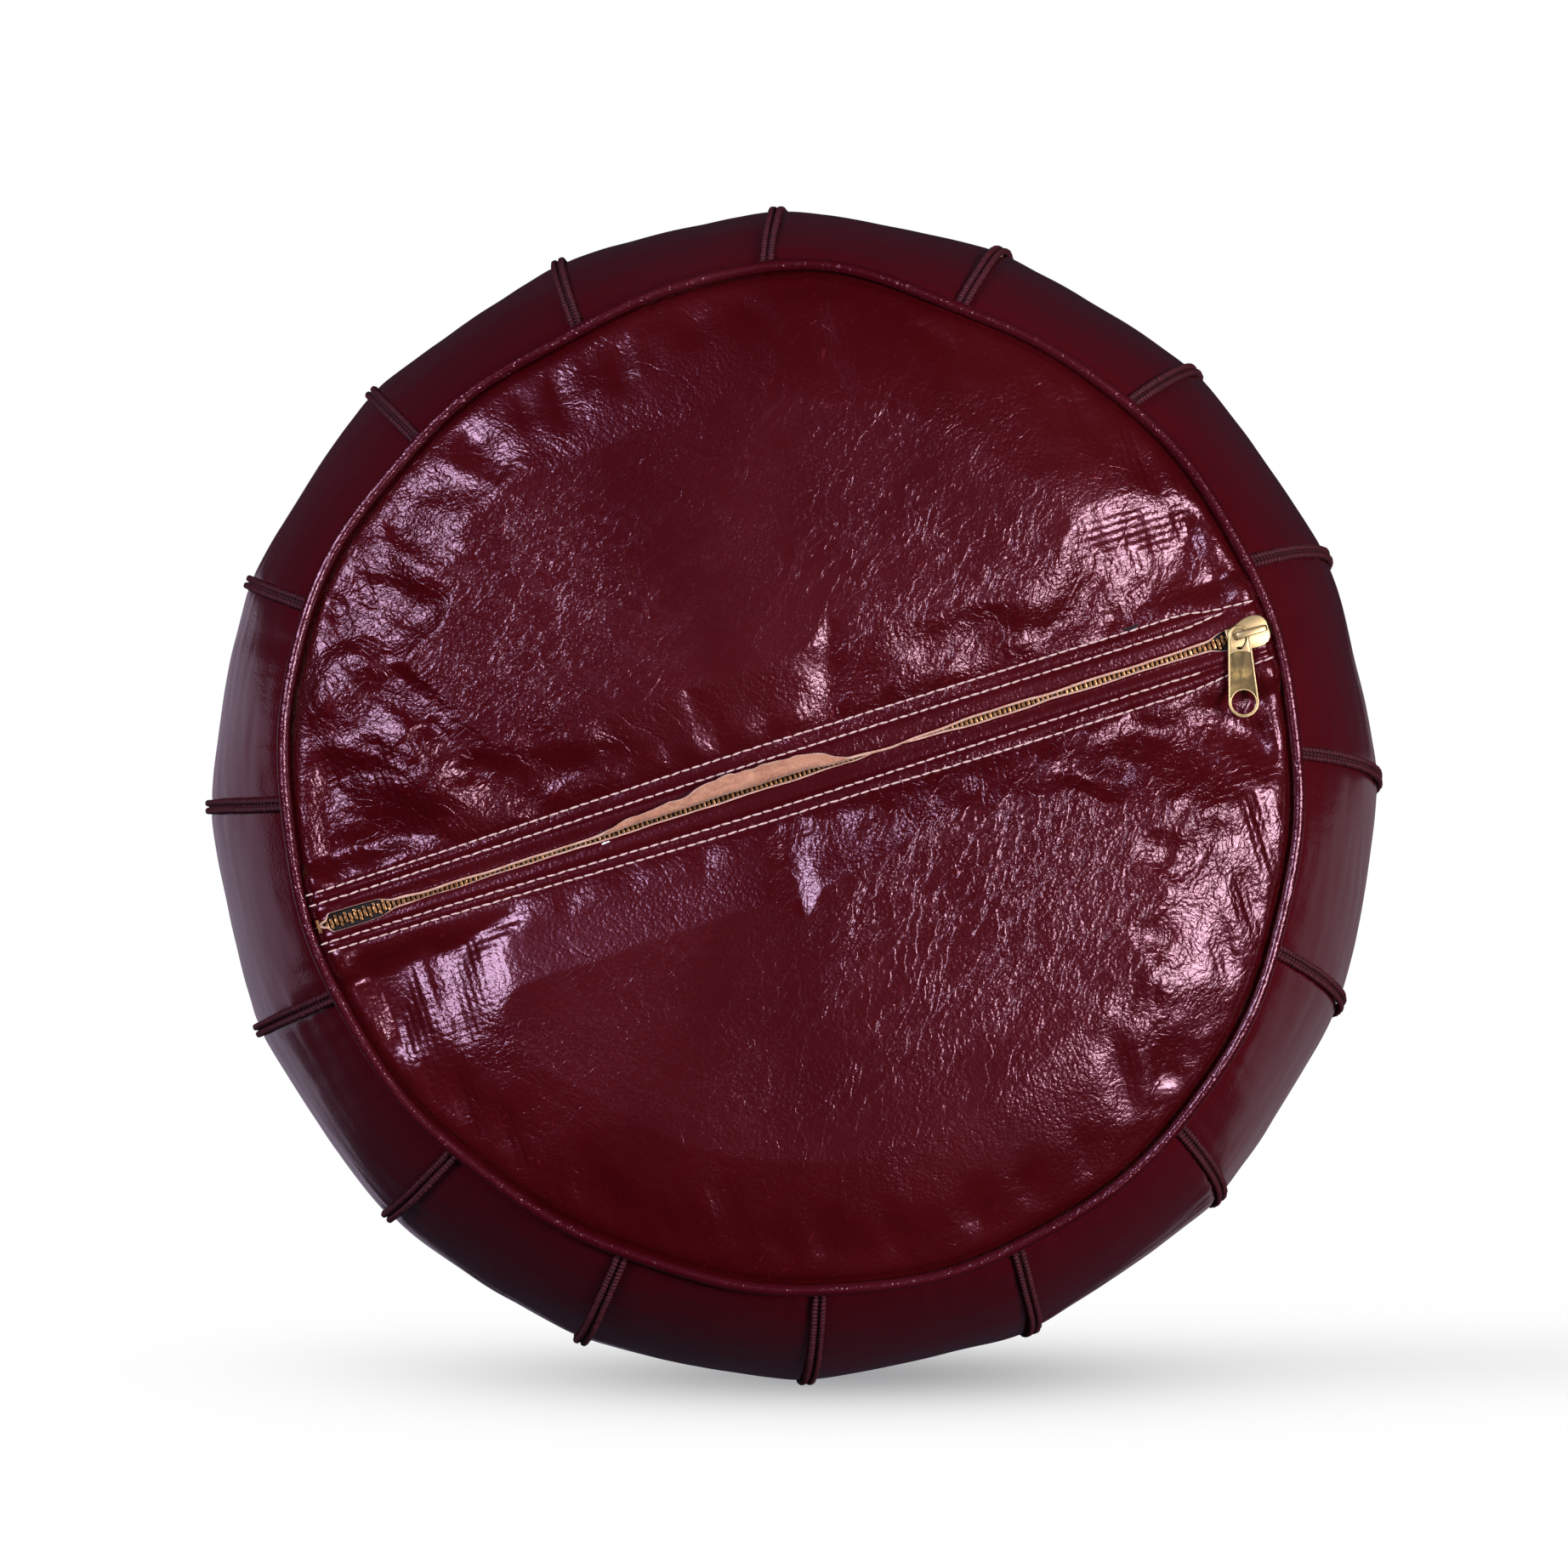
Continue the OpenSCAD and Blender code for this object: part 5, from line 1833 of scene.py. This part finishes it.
    def world(self) -> None:
        """White behind the pouf, and a dim room round it that is brighter above."""
        world = bpy.data.worlds.new("studio")
        bpy.context.scene.world = world
        world.use_nodes = True
        world.node_tree.nodes.clear()
        w = Wiring(world.node_tree)
        out = w.node("ShaderNodeOutputWorld")
        seen = w.node("ShaderNodeBackground", Color=(1, 1, 1, 1), Strength=1.0)
        way = w.node("ShaderNodeTexCoord").outputs["Generated"]
        up = w.node("ShaderNodeSeparateXYZ")
        w.put(up.inputs[0], way)
        rise = w.ramp(up.outputs["Z"], 0.15, 0.95)
        path = w.node("ShaderNodeLightPath")
        above = w.mix(path.outputs["Is Glossy Ray"], (0.46, 0.44, 0.45, 1), (0.022, 0.018, 0.028, 1))
        tone = w.mix(rise, (0.006, 0.005, 0.007, 1), above)
        room = w.node("ShaderNodeBackground", Color=tone, Strength=1.0)
        eye = path.outputs["Is Camera Ray"]
        mix = w.node("ShaderNodeMixShader")
        w.put(mix.inputs[0], eye)
        w.put(mix.inputs[1], room.outputs[0])
        w.put(mix.inputs[2], seen.outputs[0])
        w.put(out.inputs["Surface"], mix.outputs[0])

    @staticmethod
    def softbox(name: str, place: np.ndarray, aim: np.ndarray, size: Tuple[float, float], power: float,
                color: Tuple[float, float, float], mirrored: bool = True) -> None:
        """A rectangular light that points at a place; it shows in glossy faces only if mirrored."""
        data = bpy.data.lights.new(name, "AREA")
        data.shape, data.size, data.size_y, data.energy, data.color = "RECTANGLE", size[0], size[1], power, color
        lamp = bpy.data.objects.new(name, data)
        lamp.location = place
        lamp.rotation_euler = Vector(tuple(aim - place)).to_track_quat("-Z", "Y").to_euler()
        lamp.visible_camera = False
        lamp.visible_glossy = mirrored
        bpy.context.scene.collection.objects.link(lamp)
        lamp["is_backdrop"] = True

    def lights(self) -> None:
        """Two large softboxes beside the maker's view, a low fill, and two for views from above."""
        aim = np.array([0.0, 0.0, 0.02])

        def at(right: float, up: float, down: float) -> np.ndarray:
            """A place in the maker's view: right, up and below the base."""
            return VIEW_RIGHT * right + VIEW_UP * up + np.array([0.0, 0.0, -down])

        self.softbox("left_softbox", at(-1.24, 0.66, 1.70), aim, (0.55, 0.85), 32.0, (0.82, 0.78, 1.0))
        self.softbox("right_softbox", at(1.18, -0.05, 1.76), aim, (0.55, 0.8), 39.0, (1.0, 0.88, 0.93))
        self.softbox("high_fill", at(0.1, 2.1, 1.3), aim, (1.6, 0.6), 2.5, (1.0, 0.95, 0.93), False)
        self.softbox("low_fill", at(0.3, -2.0, 1.2), aim, (1.6, 0.6), 2.0, (1.0, 0.95, 0.95), False)
        self.softbox("left_rim", at(-1.20, -0.10, -1.75), np.array([0.0, 0.0, 0.1]), (1.1, 2.4), 2.6,
                     (0.86, 0.72, 0.95))
        self.softbox("right_rim", at(1.25, -0.35, -1.70), np.array([0.0, 0.0, 0.1]), (1.0, 2.2), 1.3,
                     (1.0, 0.78, 0.88))
        above = np.array([0.0, 0.0, 0.15])
        self.softbox("key_above", np.array([-0.9, -1.2, 2.8]), above, (0.9, 0.9), 42.0, (1.0, 0.98, 0.95),
                     False)
        self.softbox("back_above", np.array([0.9, 1.1, 2.7]), above, (0.9, 0.9), 20.0, (0.95, 0.96, 1.0),
                     False)
        self.softbox("gloss_above", np.array([-0.5, -0.6, 2.9]), above, (1.4, 0.7), 7.0, (0.95, 0.93, 1.0),
                     False)

    def camera(self) -> None:
        """The maker's view: from below the base, a little under its middle."""
        data = bpy.data.cameras.new("camera")
        data.sensor_width, data.lens, data.clip_end = 36.0, 114.3, 20.0
        camera = bpy.data.objects.new("camera", data)
        place = Vector(tuple(VIEW_RIGHT * self.aside - VIEW_UP * self.below)) + Vector((0, 0, -self.distance))
        aim = Vector((0, 0, self.axis_z))
        forward = (aim - place).normalized()
        up = (Vector(tuple(VIEW_UP)) - forward * Vector(tuple(VIEW_UP)).dot(forward)).normalized()
        right = forward.cross(up)
        turn = Matrix((right, up, -forward)).transposed()
        camera.matrix_world = Matrix.Translation(place) @ turn.to_4x4()
        data.shift_x, data.shift_y = -0.0065, 0.0076
        bpy.context.scene.collection.objects.link(camera)
        bpy.context.scene.camera = camera


@dataclass
class Pouf:
    """The whole pouf over its CAD frame."""

    shape: Shape
    sizes: Dict[str, List[List[float]]] = field(default_factory=dict)

    def measure(self, label: str) -> None:
        """Notes the bounds of what is shown."""
        low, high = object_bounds()
        self.sizes[label] = [list(low), list(high)]

    def build(self) -> None:
        """Makes every piece."""
        self.shape.settled = Settling(self.shape).run()
        for half in Half:
            BaseHalf(self.shape, half).build()
        Panels(self.shape).build()
        Welt(self.shape).build()
        Braids(self.shape).build()
        Stitching(self.shape).build()
        Zip(self.shape).build()
        Inside(self.shape).build()


def main() -> None:
    """Builds the looks and the stage."""
    logging.basicConfig(level=logging.INFO)
    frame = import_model()
    pouf = Pouf(Shape.from_frame(frame["nodes"]))
    pouf.measure("cad")
    pouf.build()
    Stage(pouf.shape).build()
    pouf.measure("visual")


if __name__ == "__main__":
    main()
